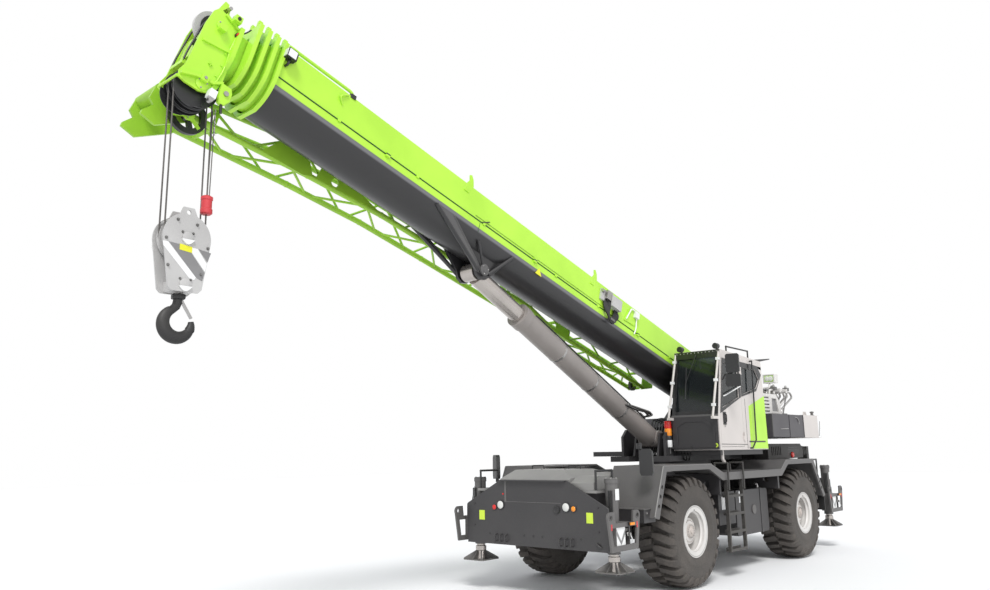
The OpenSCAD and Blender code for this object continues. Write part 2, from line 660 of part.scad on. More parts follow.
module boom_tube(inset, y0, y1) difference() {
    along_y(y0, y1) boom_outline(boom_w - 2 * inset, boom_top - inset);
    along_y(y0 - 1, y1 + 1) boom_outline(boom_w - 2 * inset - 2 * wall_t, boom_top - inset - wall_t);
}

// Collar ring at the front of a section, cut off below so that the rope falls pass it
module collar(inset, y, t, low) difference() {
    union() {
        intersection() {
            along_y(y - t, y) boom_outline(boom_w + 90, boom_top + 30);
            along_y(y - t - 5, y + 5) translate([-500, low]) square([1000, 1200]);
        }
        for (x = [-330, -180, 180, 330])
            box(x - 22, x + 22, y - t, y, boom_top, boom_top + 105);
    }
    along_y(y - t - 1, y + 1) boom_outline(boom_w - 2 * inset - 2 * wall_t, boom_top - inset - wall_t);
}

module eye_cheek() polygon([[-7900, -180], [-7560, -430], [-7480, -540], [-7380, -575],
    [-7280, -540], [-7150, -400],
    [-6980, -180]]);

module boom_base() color(lime) on_boom() {
    difference() {
        union() {
            boom_tube(0, -base_len, 420);
            collar(0, -base_len + 50, 50, -290);
            rotate([0, 90, 0]) cylinder(r = 130, h = 840, center = true, $fn = 48);
            // Bracket of the lift cylinder: two cheeks and struts up the sides
            both_sides() {
                along_x(165, 215) eye_cheek();
                rod([365, -8650, -20], [212, -7480, -470], 60);
                rod([365, -6950, -40], [212, -7250, -440], 60);
                rod([345, -7700, -120], [212, -7330, -460], 40);
            }
        }
        rotate([0, 90, 0]) cylinder(r = 70.5, h = 900, center = true, $fn = 48);
        along_y(-base_len - 1, -200) boom_outline(boom_w - 2 * wall_t, boom_top - wall_t);
    }
    translate([0, lift_eye_y, lift_eye_z])
        rotate([0, 90, 0]) cylinder(r = 60, h = 480, center = true, $fn = 40);
    both_sides() translate([215, lift_eye_y, lift_eye_z])
        rotate([0, 90, 0]) cylinder(r = 85, h = 22, $fn = 40);
    tube([[-300, -base_len + 60, boom_top - 8], [-300, -base_len + 60, boom_top + 125],
        [-300, -base_len + 1500, boom_top + 125], [-300, -base_len + 1500, boom_top - 8]], 36);
    // Rope guides and hooks on the top
    for (y = [-8200, -4600, -1800]) {
        box(-90, -60, y, y + 60, boom_top - 2, boom_top + 110);
        box(60, 90, y, y + 60, boom_top - 2, boom_top + 110);
        rod([-90, y + 30, boom_top + 80], [90, y + 30, boom_top + 80], 46);
    }
    for (y = [-9700, -6500, -3400]) box(boom_w / 2 - 2, boom_w / 2 + 30, y, y + 70, 120, 190);
}

collar_low = [-290, -265, -245, -215];

module tele(n) {
    y0 = -base_len - n * collar_step;
    boom_tube(n * section_inset, y0, -500 - n * 100);
    collar(n * section_inset, y0 + 50, 50, collar_low[n]);
}

module boom_tele_1() color(lime) on_boom() tele(1);
module boom_tele_2() color(lime) on_boom() tele(2);
module boom_tele_3() color(lime) on_boom() tele(3);

head_y = -base_len - 4 * collar_step;
sheave_y = -12166;
sheave_z = -424;
top_sheave_y = -12200;
top_sheave_z = 380;
head_in = 205;
head_out = 235;

// Side plate of the head, with an ear at the top for the tie rod
module head_plate() polygon([[head_y + 20, 455], [-12080, 530], [-12180, 580], [-12205, 690], [-12255, 700],
    [-12295, 560], [-12335, 500], [-12370, 300],
    [-12400, -300], [-12440, -420], [-12420, -500], [-12340, -520], [-12166, -520], [-12060, -480],
    [-11990, -380], [head_y + 20, -250]]);

module boom_head() color(lime) on_boom() {
    boom_tube(4 * section_inset, head_y, -900);
    both_sides() {
        along_x(head_in, head_out) head_plate();
        // Curved rim over the sheave and a stiffener on each plate
        along_x(head_out - 1, head_out + 45) polygon([[-12430, -440], [-12420, -470], [-12250, -400],
            [-12060, -370], [-11960, -300], [-11960, -270], [-12070, -335], [-12250, -365]]);
        along_x(head_out - 1, head_out + 25)
            polygon([[head_y + 10, 120], [-12340, 60], [-12340, 100], [head_y + 10, 165]]);
        box(head_out - 1, head_out + 70, -12230, -12150, 300, 380);
    }
    difference() {
        intersection() {
            along_y(head_y - 30, head_y + 20) boom_outline(620, 480);
            along_y(head_y - 35, head_y + 25) translate([-500, -200]) square([1000, 1200]);
        }
        along_y(head_y - 31, head_y + 51)
            boom_outline(boom_w - 8 * section_inset - 2 * wall_t, boom_top - 4 * section_inset - wall_t);
    }
    // Cross plate in the nose, pins of both sheave rows, and the rope guard rods
    box(-head_in - 1, head_in + 1, -12362, -12340, -120, 160);
    box(-head_in - 1, head_in + 1, -12120, -12098, -110, 120);
    translate([0, sheave_y, sheave_z]) rotate([0, 90, 0])
        cylinder(r = 45, h = 2 * head_out + 20, center = true, $fn = 40);
    translate([0, top_sheave_y, top_sheave_z]) rotate([0, 90, 0])
        cylinder(r = 35, h = 2 * head_out + 20, center = true, $fn = 40);
    rod([-head_in - 1, -12270, 570], [head_in + 1, -12270, 570], 30);
    rod([-head_in - 1, -12430, -480], [head_in + 1, -12430, -480], 30);
}

module sheave(x, y, z, r, bore) translate([x, y, z]) rotate([0, 90, 0]) rotate_extrude($fn = 64)
    polygon([[bore, -28], [r, -28], [r, -20], [r - 26, -9], [r - 26, 9], [r, 20], [r, 28], [bore, 28]]);

module head_sheaves() color(charcoal) on_boom() {
    for (x = [-60, 60]) sheave(x, sheave_y, sheave_z, 245, 45.3);
    sheave(60, top_sheave_y, top_sheave_z, 175, 35.3);
    // Round side guards of the lower row
    for (x = [-150, 138]) difference() {
        translate([x, sheave_y, sheave_z]) rotate([0, 90, 0]) cylinder(r = 250, h = 12, $fn = 64);
        translate([x - 1, sheave_y, sheave_z]) rotate([0, 90, 0]) cylinder(r = 45.3, h = 14, $fn = 40);
    }
}

// Stowed lattice jib beside the boom: tables of chord heights and half widths along the boom
low_chord = [[-11900, -420], [-10200, -240], [-8900, -140], [-7600, -110], [-5400, -80],
    [-4600, -150], [-1500, -150]];
top_chord = [[-11900, -180], [-10200, 160], [-8900, 300], [-7600, 330], [-5400, 330],
    [-4600, 90], [-1500, 90]];
near_chord = [[-11900, -500], [-5400, -500], [-4600, -600], [-1500, -600]];
far_chord = [[-11900, -1000], [-5400, -1000], [-4600, -900], [-1500, -900]];
root_sheave_y = -11960;
stations = [-11900, -10200, -8900, -7600, -5400, -4600, -1500];
panels = [-11800, -11150, -10500, -9850, -9200, -8550, -7900, -7250, -6600, -5850, -5000, -4200,
    -3560, -2920, -2280, -1800];
// Lacing ends are set apart along the chords, so that each has its own weld
gap_flat = 35;
gap_side = 80;

function near_low(y) = [lookup(y, near_chord), y, lookup(y, low_chord)];
function far_low(y) = [lookup(y, far_chord), y, lookup(y, low_chord)];
function near_top(y) = [lookup(y, near_chord), y, lookup(y, top_chord)];
function far_top(y) = [lookup(y, far_chord), y, lookup(y, top_chord)];

module chord(f, d) tube([for (y = stations)
    f == 0 ? near_low(y) : f == 1 ? far_low(y) : f == 2 ? near_top(y) : far_top(y)], d, 16);

module lacing(a, b) rod(a, b, 36, 8);

module jib() color([0.42, 0.66, 0.12]) on_boom() {
    chord(0, 84);
    chord(1, 84);
    chord(2, 72);
    chord(3, 72);
    for (i = [0 : len(panels) - 2]) {
        a = panels[i] + gap_flat;
        b = panels[i + 1] - gap_flat;
        c = panels[i] + gap_side;
        d = panels[i + 1] - gap_side;
        flip = i % 2 == 0;
        lacing(flip ? near_low(a) : far_low(a), flip ? far_low(b) : near_low(b));
        lacing(flip ? far_low(c) : far_top(c), flip ? far_top(d) : far_low(d));
        lacing(flip ? near_top(c) : near_low(c), flip ? near_low(d) : near_top(d));
    }
    for (y = [-11600, -5600, -4420]) {
        rod(near_low(y), far_low(y), 56, 8);
        rod(near_top(y), far_top(y), 56, 8);
        rod(near_low(y), near_top(y), 56, 8);
        rod(far_low(y), far_top(y), 56, 8);
    }
    rod(near_top(-1700), far_top(-1700), 56, 8);
    // Root: two fork arms, the winding drum and the pin that carries the root sheave
    for (x = [-520, -1020]) along_x(x, x + 40) polygon([[-11850, -140], [-11850, -480], [-12230, -780],
        [-12420, -740], [-12420, -690], [-12330, -560], [-12400, -500], [-12380, -330], [-12250, -160]]);
    rod([-1010, -12310, -330], [-490, -12310, -330], 150);
    rod([-600, root_sheave_y, -480], [-430, root_sheave_y, -480], 70);
    // Gusset plates on the near side, one with a round hole, and those at the joint of the two sections
    along_x(-475, -455) polygon([[-10950, -330], [-10750, -60], [-10450, 20], [-10250, -70],
        [-10150, -240], [-10300, -300]]);
    difference() {
        along_x(-475, -455) polygon([[-10100, -240], [-10050, -20], [-9300, -60], [-8960, -140]]);
        translate([-600, -9800, -130]) rotate([0, 90, 0]) cylinder(d = 120, h = 200, $fn = 32);
    }
    along_x(-575, -555) polygon([[-4560, -190], [-4560, 150], [-4500, 240], [-4150, 120], [-4150, -190]]);
    along_x(-945, -925) polygon([[-4560, -60], [-4520, -260], [-4400, -290], [-4250, -120]]);
    // Tip with lugs
    for (x = [-920, -620]) along_x(x, x + 40)
        polygon([[-1520, -200], [-1520, 130], [-1300, 90], [-1160, 40], [-1160, -50], [-1400, -150]]);
    rod([-900, -1660, -150], [-600, -1660, -150], 60);
    // Brackets that hold it to the side of the base section
    box(-500, -boom_w / 2, -10120, -10020, 158, 190);
    box(-500, -boom_w / 2, -6950, -6850, 314, 346);
    box(-600, -boom_w / 2, -3300, -3200, 75, 105);
}

// Ring sheave in the jib's root with three spokes, and the small tip sheave
module jib_sheaves() color(charcoal) on_boom() {
    translate([-450, root_sheave_y, -480]) rotate([0, 90, 0]) {
        difference() {
            cylinder(r = 235, h = 55, $fn = 64);
            translate([0, 0, -1]) cylinder(r = 165, h = 57, $fn = 64);
        }
        for (a = [30, 150, 270]) rotate([0, 0, a]) translate([40, -30, 5]) cube([140, 60, 45]);
        difference() {
            cylinder(r = 70, h = 55, $fn = 48);
            translate([0, 0, -1]) cylinder(r = 35.3, h = 57, $fn = 48);
        }
    }
    translate([-770, -1660, -150]) rotate([0, 90, 0]) difference() {
        cylinder(r = 110, h = 50, $fn = 48);
        translate([0, 0, -1]) cylinder(r = 30.3, h = 52, $fn = 48);
    }
}

// Rope falls, hook block and hook hang plumb below the head
hang_y = boom_to_y(sheave_y, sheave_z);
hang_z = boom_to_z(sheave_y, sheave_z);
block_z = 4480;

fall_r = 229;

module rope_falls() color([0.3, 0.3, 0.3]) place() {
    for (x = [-60, 60], side = [-1, 1])
        rod([x, hang_y + side * fall_r, block_z], [x, hang_y + side * fall_r, hang_z], 18);
}

module block_sheave(x) translate([x, hang_y, block_z]) rotate([0, 90, 0]) rotate_extrude($fn = 64)
    polygon([[49, -26], [242, -26], [242, -20], [219, -9], [219, 9], [242, 20], [242, 26], [49, 26]]);

// Round over the sheaves, with an ear on top and a narrower foot
module block_plate() difference() {
    union() {
        translate([0, block_z]) circle(r = 268, $fn = 64);
        polygon([[-268, block_z - 20], [268, block_z - 20],
            [190, 3930], [150, 3890], [-150, 3890], [-190, 3930]]);
        polygon([[-115, 4690], [-62, 4815], [62, 4815], [115, 4690]]);
    }
    translate([0, 4762]) circle(r = 26, $fn = 32);
}

module hook_block() color(off_white) place() {
    for (x = [-130, 110]) translate([0, hang_y, 0]) along_x(x, x + 20) block_plate();
    for (x = [-60, 60]) block_sheave(x);
    translate([0, hang_y, block_z]) rotate([0, 90, 0]) cylinder(r = 50, h = 290, center = true, $fn = 40);
    box(-111, 111, hang_y - 120, hang_y + 120, 3900, 4010);
    for (side = [-1, 1]) rod([-111, hang_y + side * 190, 4640], [111, hang_y + side * 190, 4640], 34);
}

bowl_z = 3560;

module hook() color([0.25, 0.25, 0.26]) place() translate([0, hang_y, bowl_z]) {
    translate([0, 0, 120]) cylinder(r = 50, h = 219.5, $fn = 40);
    rotate([0, 90, 0]) rotate([0, 0, 88])
        rotate_extrude(angle = 282, $fn = 64) translate([170, 0]) circle(r = 60, $fn = 10);
    translate([0, 0, 270]) cylinder(r = 78, h = 55, $fn = 40);
}

chassis();
front_panel();
deck_cover();
mudguards();
ladder();
side_tank();
engine_hood();
engine_block();
axles();
slew_ring();
rails_and_mirrors();
carrier_lamps();
knuckle(1, 0);  // knuckle_fl
knuckle(-1, 0);  // knuckle_fr
knuckle(1, wheelbase);  // knuckle_rl
knuckle(-1, wheelbase);  // knuckle_rr
tyre(1, 0);  // tyre_fl
tyre(-1, 0);  // tyre_fr
tyre(1, wheelbase);  // tyre_rl
tyre(-1, wheelbase);  // tyre_rr
rim(1, 0);  // rim_fl
rim(-1, 0);  // rim_fr
rim(1, wheelbase);  // rim_rl
rim(-1, wheelbase);  // rim_rr
beam(1, front_outrigger_y, -slot_shift);  // beam_fl
beam(-1, front_outrigger_y, slot_shift);  // beam_fr
beam(1, rear_outrigger_y, -slot_shift);  // beam_rl
beam(-1, rear_outrigger_y, slot_shift);  // beam_rr
jack(1, front_outrigger_y);  // jack_fl
jack(-1, front_outrigger_y);  // jack_fr
jack(1, rear_outrigger_y);  // jack_rl
jack(-1, rear_outrigger_y);  // jack_rr
turntable();
counterweight();
winch();
power_unit();
cab_shell();
cab_glass();
cab_interior();
cab_roof_gear();
cab_door();
door_glass();
lift_barrel();
lift_rod();
boom_base();
jib();
jib_sheaves();
cab_mirrors();
boom_tele_1();
boom_tele_2();
boom_tele_3();
boom_head();
head_sheaves();
rope_falls();
hook_block();
hook();
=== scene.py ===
# %% [markdown]
# # A rough-terrain crane, dressed for a picture
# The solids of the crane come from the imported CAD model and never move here. This notebook gives them
# their finishes, adds the small parts that a solid model leaves out (ropes, bolts, stripes, hoses, lamps),
# and puts a camera where the photograph was taken. Everything is in metres, front towards -Y, ground at 0.

import math

import bmesh
import bpy
from mathutils import Matrix, Vector


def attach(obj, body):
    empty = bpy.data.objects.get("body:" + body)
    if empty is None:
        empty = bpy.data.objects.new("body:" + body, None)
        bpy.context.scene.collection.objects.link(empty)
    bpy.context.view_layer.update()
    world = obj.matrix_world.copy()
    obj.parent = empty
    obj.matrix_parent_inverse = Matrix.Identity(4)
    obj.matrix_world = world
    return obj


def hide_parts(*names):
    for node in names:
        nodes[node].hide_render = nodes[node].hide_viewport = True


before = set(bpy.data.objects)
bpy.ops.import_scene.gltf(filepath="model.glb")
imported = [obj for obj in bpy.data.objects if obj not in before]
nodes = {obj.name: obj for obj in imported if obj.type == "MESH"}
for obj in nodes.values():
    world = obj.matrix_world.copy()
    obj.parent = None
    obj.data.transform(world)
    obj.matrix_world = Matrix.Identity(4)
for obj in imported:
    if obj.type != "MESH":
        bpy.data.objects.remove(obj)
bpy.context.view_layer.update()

# %% [markdown]
# Most places were measured from the front axle, so one helper moves them into the frame. Things on the
# boom are easier to place along the boom itself: its own axes start at the pivot and lie 16.6 degrees up.

# %% Places on the carrier and on the boom
FRONT_AXLE_Y = 0.605
WHEELBASE = 4.6
BOOM_ANGLE = math.radians(16.6)
HERE = Matrix.Translation((0, FRONT_AXLE_Y, 0))
BOOM = Matrix.Translation((0, 3.7 + FRONT_AXLE_Y, 3.15)) @ Matrix.Rotation(-BOOM_ANGLE, 4, "X")
print("boom head at", (BOOM @ Vector((0, -12.166, -0.424))).to_tuple(2))

# %% [markdown]
# A camera fitted to the wheels, the front panel and the boom gave its place, its direction and a 29 mm
# lens. The matrix columns are the camera's right, up and backward directions.

# %% Camera
camera = bpy.data.objects.new("camera", bpy.data.cameras.new("camera"))
bpy.context.scene.collection.objects.link(camera)
right, up = Vector((0.74714, 0.66447, -0.01613)), Vector((0.14066, -0.13435, 0.98090))
forward = Vector((-0.64962, 0.73514, 0.19384))
place = Matrix((right, up, -forward)).transposed().to_4x4()
place.translation = (8.060, -12.101 + FRONT_AXLE_Y, 2.166)
camera.matrix_world = place
camera.data.lens = 29.046
camera.data.sensor_width = 36
camera.data.clip_end = 200
bpy.context.scene.camera = camera
print("camera at", place.translation.to_tuple(2))

# %% [markdown]
# The photograph has a white surround and soft daylight. The world gives even light, one broad sun gives
# the direction, and the world looks white to the camera, to mirrors and through glass.

# %% Light, floor and colour management
scene = bpy.context.scene
scene.view_settings.view_transform = "Standard"
world = bpy.data.worlds.new("daylight")
scene.world = world
world.use_nodes = True
wn, wl = world.node_tree.nodes, world.node_tree.links
wn.clear()
sky, white = wn.new("ShaderNodeBackground"), wn.new("ShaderNodeBackground")
mix = wn.new("ShaderNodeMixShader")
path, add1, add2 = wn.new("ShaderNodeLightPath"), wn.new("ShaderNodeMath"), wn.new("ShaderNodeMath")
out = wn.new("ShaderNodeOutputWorld")
sky.inputs["Color"].default_value = (0.93, 0.96, 1.0, 1)
sky.inputs["Strength"].default_value = 0.62
white.inputs["Color"].default_value = (1, 1, 1, 1)
for node in (add1, add2):
    node.operation = "MAXIMUM"
wl.new(path.outputs["Is Camera Ray"], add1.inputs[0])
wl.new(path.outputs["Is Transmission Ray"], add1.inputs[1])
wl.new(add1.outputs[0], add2.inputs[0])
wl.new(path.outputs["Is Glossy Ray"], add2.inputs[1])
wl.new(add2.outputs[0], mix.inputs["Fac"])
wl.new(sky.outputs[0], mix.inputs[1])
wl.new(white.outputs[0], mix.inputs[2])
wl.new(mix.outputs[0], out.inputs["Surface"])


def sun(name, direction, strength, spread):
    lamp = bpy.data.objects.new(name, bpy.data.lights.new(name, "SUN"))
    lamp.data.energy, lamp.data.angle = strength, math.radians(spread)
    lamp.rotation_euler = Vector(direction).to_track_quat("-Z", "Y").to_euler()
    scene.collection.objects.link(lamp)
    return lamp


sun("key_sun", (-0.55, 0.62, -1.0), 2.1, 18)
sun("fill_sun", (-0.9, 0.2, -0.25), 0.55, 40)

floor = bpy.data.objects.new("floor", bpy.data.meshes.new("floor"))
floor.data.from_pydata([(-60, -60, -0.002), (60, -60, -0.002), (60, 60, -0.002), (-60, 60, -0.002)], [],
    [(0, 1, 2, 3)])
scene.collection.objects.link(floor)

# %% [markdown]
# Paint on a working machine is never one colour. Each finish mixes its colour with a second tone through
# large soft noise, adds a little road dust that is thicker near the ground, varies the gloss, and has a
# fine bump. Noise textures in object space need no unwrapping and stay put when the machine moves.


# %% A helper for finishes
DUST = (0.30, 0.27, 0.24, 1)


def finish(name, colour, second, rough=0.4, metal=0.0, dust=0.25, bump=0.04, grain=60.0, cloud=1.6,
    coat=0.0,
           dust_top=3.0):
    """A paint, rubber or metal whose two tones are mixed by large clouds, with dust and a fine bump."""
    mat = bpy.data.materials.new(name)
    mat.use_nodes = True
    n, l = mat.node_tree.nodes, mat.node_tree.links
    bsdf = n["Principled BSDF"]
    where = n.new("ShaderNodeTexCoord")
    clouds, fine, ramp = n.new("ShaderNodeTexNoise"), n.new("ShaderNodeTexNoise"), n.new("ShaderNodeMapRange")
    clouds.inputs["Scale"].default_value, clouds.inputs["Detail"].default_value = cloud, 6
    fine.inputs["Scale"].default_value, fine.inputs["Detail"].default_value = grain, 4
    for tex in (clouds, fine):
        l.new(where.outputs["Object"], tex.inputs["Vector"])
    tone = n.new("ShaderNodeMix")
    tone.data_type = "RGBA"
    tone.inputs[6].default_value = (*colour, 1)
    tone.inputs[7].default_value = (*second, 1)
    ramp.inputs["From Min"].default_value, ramp.inputs["From Max"].default_value = 0.35, 0.7
    l.new(clouds.outputs["Fac"], ramp.inputs["Value"])
    l.new(ramp.outputs["Result"], tone.inputs[0])
    # Dust, thicker towards the ground and broken up by the fine noise
    split, low, much = n.new("ShaderNodeSeparateXYZ"), n.new("ShaderNodeMapRange"), n.new("ShaderNodeMath")
    l.new(where.outputs["Object"], split.inputs[0])
    low.inputs["From Min"].default_value, low.inputs["From Max"].default_value = dust_top, 0.1
    low.inputs["To Max"].default_value = dust
    l.new(split.outputs["Z"], low.inputs["Value"])
    much.operation = "MULTIPLY"
    l.new(low.outputs["Result"], much.inputs[0])
    l.new(fine.outputs["Fac"], much.inputs[1])
    dusty = n.new("ShaderNodeMix")
    dusty.data_type = "RGBA"
    dusty.inputs[7].default_value = DUST
    l.new(much.outputs[0], dusty.inputs[0])
    l.new(tone.outputs[2], dusty.inputs[6])
    l.new(dusty.outputs[2], bsdf.inputs["Base Color"])
    gloss, relief = n.new("ShaderNodeMapRange"), n.new("ShaderNodeBump")
    gloss.inputs["To Min"].default_value, gloss.inputs["To Max"].default_value = max(rough - 0.08,
        0.02), min(rough + 0.12, 1)
    l.new(clouds.outputs["Fac"], gloss.inputs["Value"])
    l.new(gloss.outputs["Result"], bsdf.inputs["Roughness"])
    relief.inputs["Strength"].default_value, relief.inputs["Distance"].default_value = bump, 0.004
    l.new(fine.outputs["Fac"], relief.inputs["Height"])
    l.new(relief.outputs["Normal"], bsdf.inputs["Normal"])
    bsdf.inputs["Metallic"].default_value = metal
    bsdf.inputs["Coat Weight"].default_value = coat
    bsdf.inputs["Coat Roughness"].default_value = 0.15
    return mat


LIME, LIME_SHADE = (0.47, 0.82, 0.055), (0.41, 0.74, 0.045)
lime = finish("lime_paint", LIME, LIME_SHADE, 0.34, dust=0.0, bump=0.02, coat=0.15)
charcoal = finish("charcoal_paint", (0.030, 0.029, 0.031), (0.040, 0.038, 0.040), 0.42, dust=0.10)
frame_grey = finish("frame_grey_paint", (0.095, 0.092, 0.092), (0.115, 0.111, 0.109), 0.45, dust=0.25)
deck_grey = finish("deck_grey_paint", (0.24, 0.235, 0.225), (0.21, 0.205, 0.20), 0.5, dust=0.2)
warm_grey = finish("warm_grey_paint", (0.62, 0.575, 0.545), (0.58, 0.54, 0.515), 0.38, dust=0.04, coat=0.1)
off_white = finish("off_white_paint", (0.70, 0.68, 0.655), (0.60, 0.575, 0.55), 0.42, dust=0.25)
rubber = finish("tyre_rubber", (0.029, 0.026, 0.024), (0.055, 0.048, 0.043), 0.75, dust=0.36, bump=0.35,
    grain=45, cloud=3, dust_top=2.4)
axle_black = finish("axle_black_paint", (0.018, 0.018, 0.018), (0.028, 0.027, 0.026), 0.55, dust=0.35)
black_plastic = finish("black_plastic", (0.016, 0.016, 0.017), (0.022, 0.022, 0.023), 0.38, dust=0.08,
    bump=0.1, grain=180)
casting = finish("painted_casting", (0.17, 0.165, 0.16), (0.12, 0.115, 0.11), 0.6, dust=0.2, bump=0.25)
steel = finish("turned_steel", (0.45, 0.44, 0.43), (0.33, 0.32, 0.31), 0.32, metal=0.9, dust=0.1)
rod_metal = finish("rod_chrome", (0.50, 0.46, 0.43), (0.42, 0.385, 0.36), 0.22, metal=0.75, dust=0.0)
cylinder_grey = finish("cylinder_paint", (0.29, 0.262, 0.245), (0.25, 0.226, 0.212), 0.4, dust=0.0)
block_grey = finish("hook_block_paint", (0.52, 0.51, 0.50), (0.43, 0.42, 0.41), 0.45, dust=0.0, bump=0.1)
forged = finish("forged_hook", (0.030, 0.030, 0.031), (0.05, 0.048, 0.046), 0.5, metal=0.4, dust=0.0,
    bump=0.3)
rope = finish("wire_rope", (0.15, 0.14, 0.13), (0.09, 0.085, 0.08), 0.5, metal=0.6, dust=0.0, bump=0.5,
    grain=300)
jack_steel = finish("jack_steel", (0.10, 0.098, 0.095), (0.16, 0.155, 0.15), 0.5, metal=0.2, dust=0.3,
    bump=0.2)
print("finishes:", len(bpy.data.materials))

# %% [markdown]
# The boom is lime above and near-black below, with a grey painted highlight along the shoulder of the rounded
# belly.
# The border follows the boom's own height, so the shader turns the object position into boom axes with one
# dot product and picks the tone from bands. The front collar stays lime all round.


# %% Two-tone boom finish
def band(nodes_, links, value, low, high, soft=0.002):
    """1 between low and high, 0 elsewhere."""
    a, b = nodes_.new("ShaderNodeMapRange"), nodes_.new("ShaderNodeMapRange")
    overlap = nodes_.new("ShaderNodeMath")
    a.inputs["From Min"].default_value, a.inputs["From Max"].default_value = low - soft, low + soft
    b.inputs["From Min"].default_value, b.inputs["From Max"].default_value = high + soft, high - soft
    overlap.operation = "MULTIPLY"
    links.new(value, a.inputs["Value"])
    links.new(value, b.inputs["Value"])
    links.new(a.outputs["Result"], overlap.inputs[0])
    links.new(b.outputs["Result"], overlap.inputs[1])
    return overlap.outputs[0]


def add_tone(mat, factor, colour):
    """Lays a colour over what reaches Base Color, where factor is 1."""
    n, l = mat.node_tree.nodes, mat.node_tree.links
    bsdf = n["Principled BSDF"]
    before = bsdf.inputs["Base Color"].links[0].from_socket
    over = n.new("ShaderNodeMix")
    over.data_type = "RGBA"
    l.new(factor, over.inputs[0])
    l.new(before, over.inputs[6])
    over.inputs[7].default_value = (*colour, 1)
    l.new(over.outputs[2], bsdf.inputs["Base Color"])


def along(mat, direction, origin):
    """Distance of a point from origin along a direction, as a socket."""
    n, l = mat.node_tree.nodes, mat.node_tree.links
    where = n.new("ShaderNodeTexCoord")
    minus, dot = n.new("ShaderNodeVectorMath"), n.new("ShaderNodeVectorMath")
    minus.operation, dot.operation = "SUBTRACT", "DOT_PRODUCT"
    minus.inputs[1].default_value, dot.inputs[1].default_value = origin, direction
    l.new(where.outputs["Object"], minus.inputs[0])
    l.new(minus.outputs[0], dot.inputs[0])
    return dot.outputs["Value"]


def both(mat, a, b):
    """The product of two sockets: 1 where both are 1."""
    n, l = mat.node_tree.nodes, mat.node_tree.links
    m = n.new("ShaderNodeMath")
    m.operation = "MULTIPLY"
    l.new(a, m.inputs[0])
    l.new(b, m.inputs[1])
    return m.outputs[0]


boom_paint = finish("boom_two_tone_and_painted_light", LIME, LIME_SHADE, 0.34, dust=0.0, bump=0.02, coat=0.15)
n, l = boom_paint.node_tree.nodes, boom_paint.node_tree.links
pivot = (0, 3.7 + FRONT_AXLE_Y, 3.15)
height = along(boom_paint, (0, math.sin(BOOM_ANGLE), math.cos(BOOM_ANGLE)), pivot)
length = along(boom_paint, (0, math.cos(BOOM_ANGLE), -math.sin(BOOM_ANGLE)), pivot)
tube_part = band(n, l, length, -11.445, 5)
add_tone(boom_paint, both(boom_paint, band(n, l, height, -5, 0.045), tube_part), (0.024, 0.023, 0.024))
# A grey band just under the border: a painted highlight on the belly's shoulder
add_tone(boom_paint, both(boom_paint, band(n, l, height, -0.005, 0.045, 0.012), tube_part),
    (0.16, 0.16, 0.17))
# A thin dark green band along the side: painted shade in the boom's groove
add_tone(boom_paint, both(boom_paint, band(n, l, height, 0.146, 0.166), tube_part), (0.012, 0.055, 0.012))
print("boom bands ready")

# %% Finishes on the CAD nodes
jib_lime = finish("jib_lime", (0.33, 0.60, 0.04), (0.27, 0.50, 0.035), 0.38, dust=0.0, bump=0.03)
glass = finish("tinted_glass", (0.06, 0.075, 0.08), (0.05, 0.065, 0.07), 0.06, dust=0.0, bump=0.0)
glass.node_tree.nodes["Principled BSDF"].inputs["Transmission Weight"].default_value = 0.85
glass.node_tree.nodes["Principled BSDF"].inputs["IOR"].default_value = 1.45
lens = finish("clear_lens", (0.75, 0.75, 0.72), (0.65, 0.65, 0.62), 0.12, dust=0.1, bump=0.1)
counter_paint = finish("counterweight_paint", (0.62, 0.575, 0.545), (0.58, 0.54, 0.515), 0.4, dust=0.02)
n, l = counter_paint.node_tree.nodes, counter_paint.node_tree.links
y_place = along(counter_paint, (0, 1, 0), (0, FRONT_AXLE_Y, 0))
add_tone(counter_paint, band(n, l, y_place, -5, 5.25), (0.060, 0.056, 0.062))
looks = {
    "chassis": charcoal, "front_panel": charcoal, "deck_cover": deck_grey, "mudguards": frame_grey,
        "ladder": axle_black,
    "side_tank": charcoal, "engine_hood": axle_black, "engine_block": casting, "axles": axle_black,
        "slew_ring": steel,
    "rails_and_mirrors": black_plastic, "carrier_lamps": lens, "turntable": charcoal,
        "counterweight": counter_paint,
    "winch": casting, "power_unit": off_white, "cab_shell": warm_grey, "cab_glass": glass,
        "cab_interior": black_plastic,
    "cab_roof_gear": black_plastic, "cab_door": warm_grey, "door_glass": glass,
        "lift_barrel": cylinder_grey,
    "lift_rod": rod_metal, "boom_base": boom_paint, "jib": jib_lime, "jib_sheaves": black_plastic,
    "cab_mirrors": black_plastic, "boom_head": lime, "head_sheaves": black_plastic, "rope_falls": rope,
    "hook_block": block_grey, "hook": forged,
}
for name, node in nodes.items():
    kind = name.split("_")[0]
    mat = looks.get(name) or {
        "knuckle": axle_black, "tyre": rubber, "rim": off_white, "beam": frame_grey, "jack": jack_steel,
            "boom": lime,
    }[kind]
    node.data.materials.clear()
    node.data.materials.append(mat)
floor_paint = finish("floor_white", (0.93, 0.93, 0.93), (0.93, 0.93, 0.93), 0.8, dust=0.0, bump=0.0)
floor.data.materials.append(floor_paint)
print("CAD nodes with a finish:", len(nodes))

# %% [markdown]
# A solid model leaves out what is thin, soft or repeated: tread, bolts, hoses, lamps, stripes. On the real
# crane these are pressed, bent and turned parts, so the workshop below knows just those four makings: a flat
# outline with a thickness, a block, a bent round tube, and a profile turned on a lathe. One piece gathers
# many of them, so that things which move together and share a job stay one object.


# %% A workshop for the small parts
def turns(count):
    """The angles of count places that are evenly spaced round a circle."""
    return [2 * math.pi * k / count for k in range(count)]


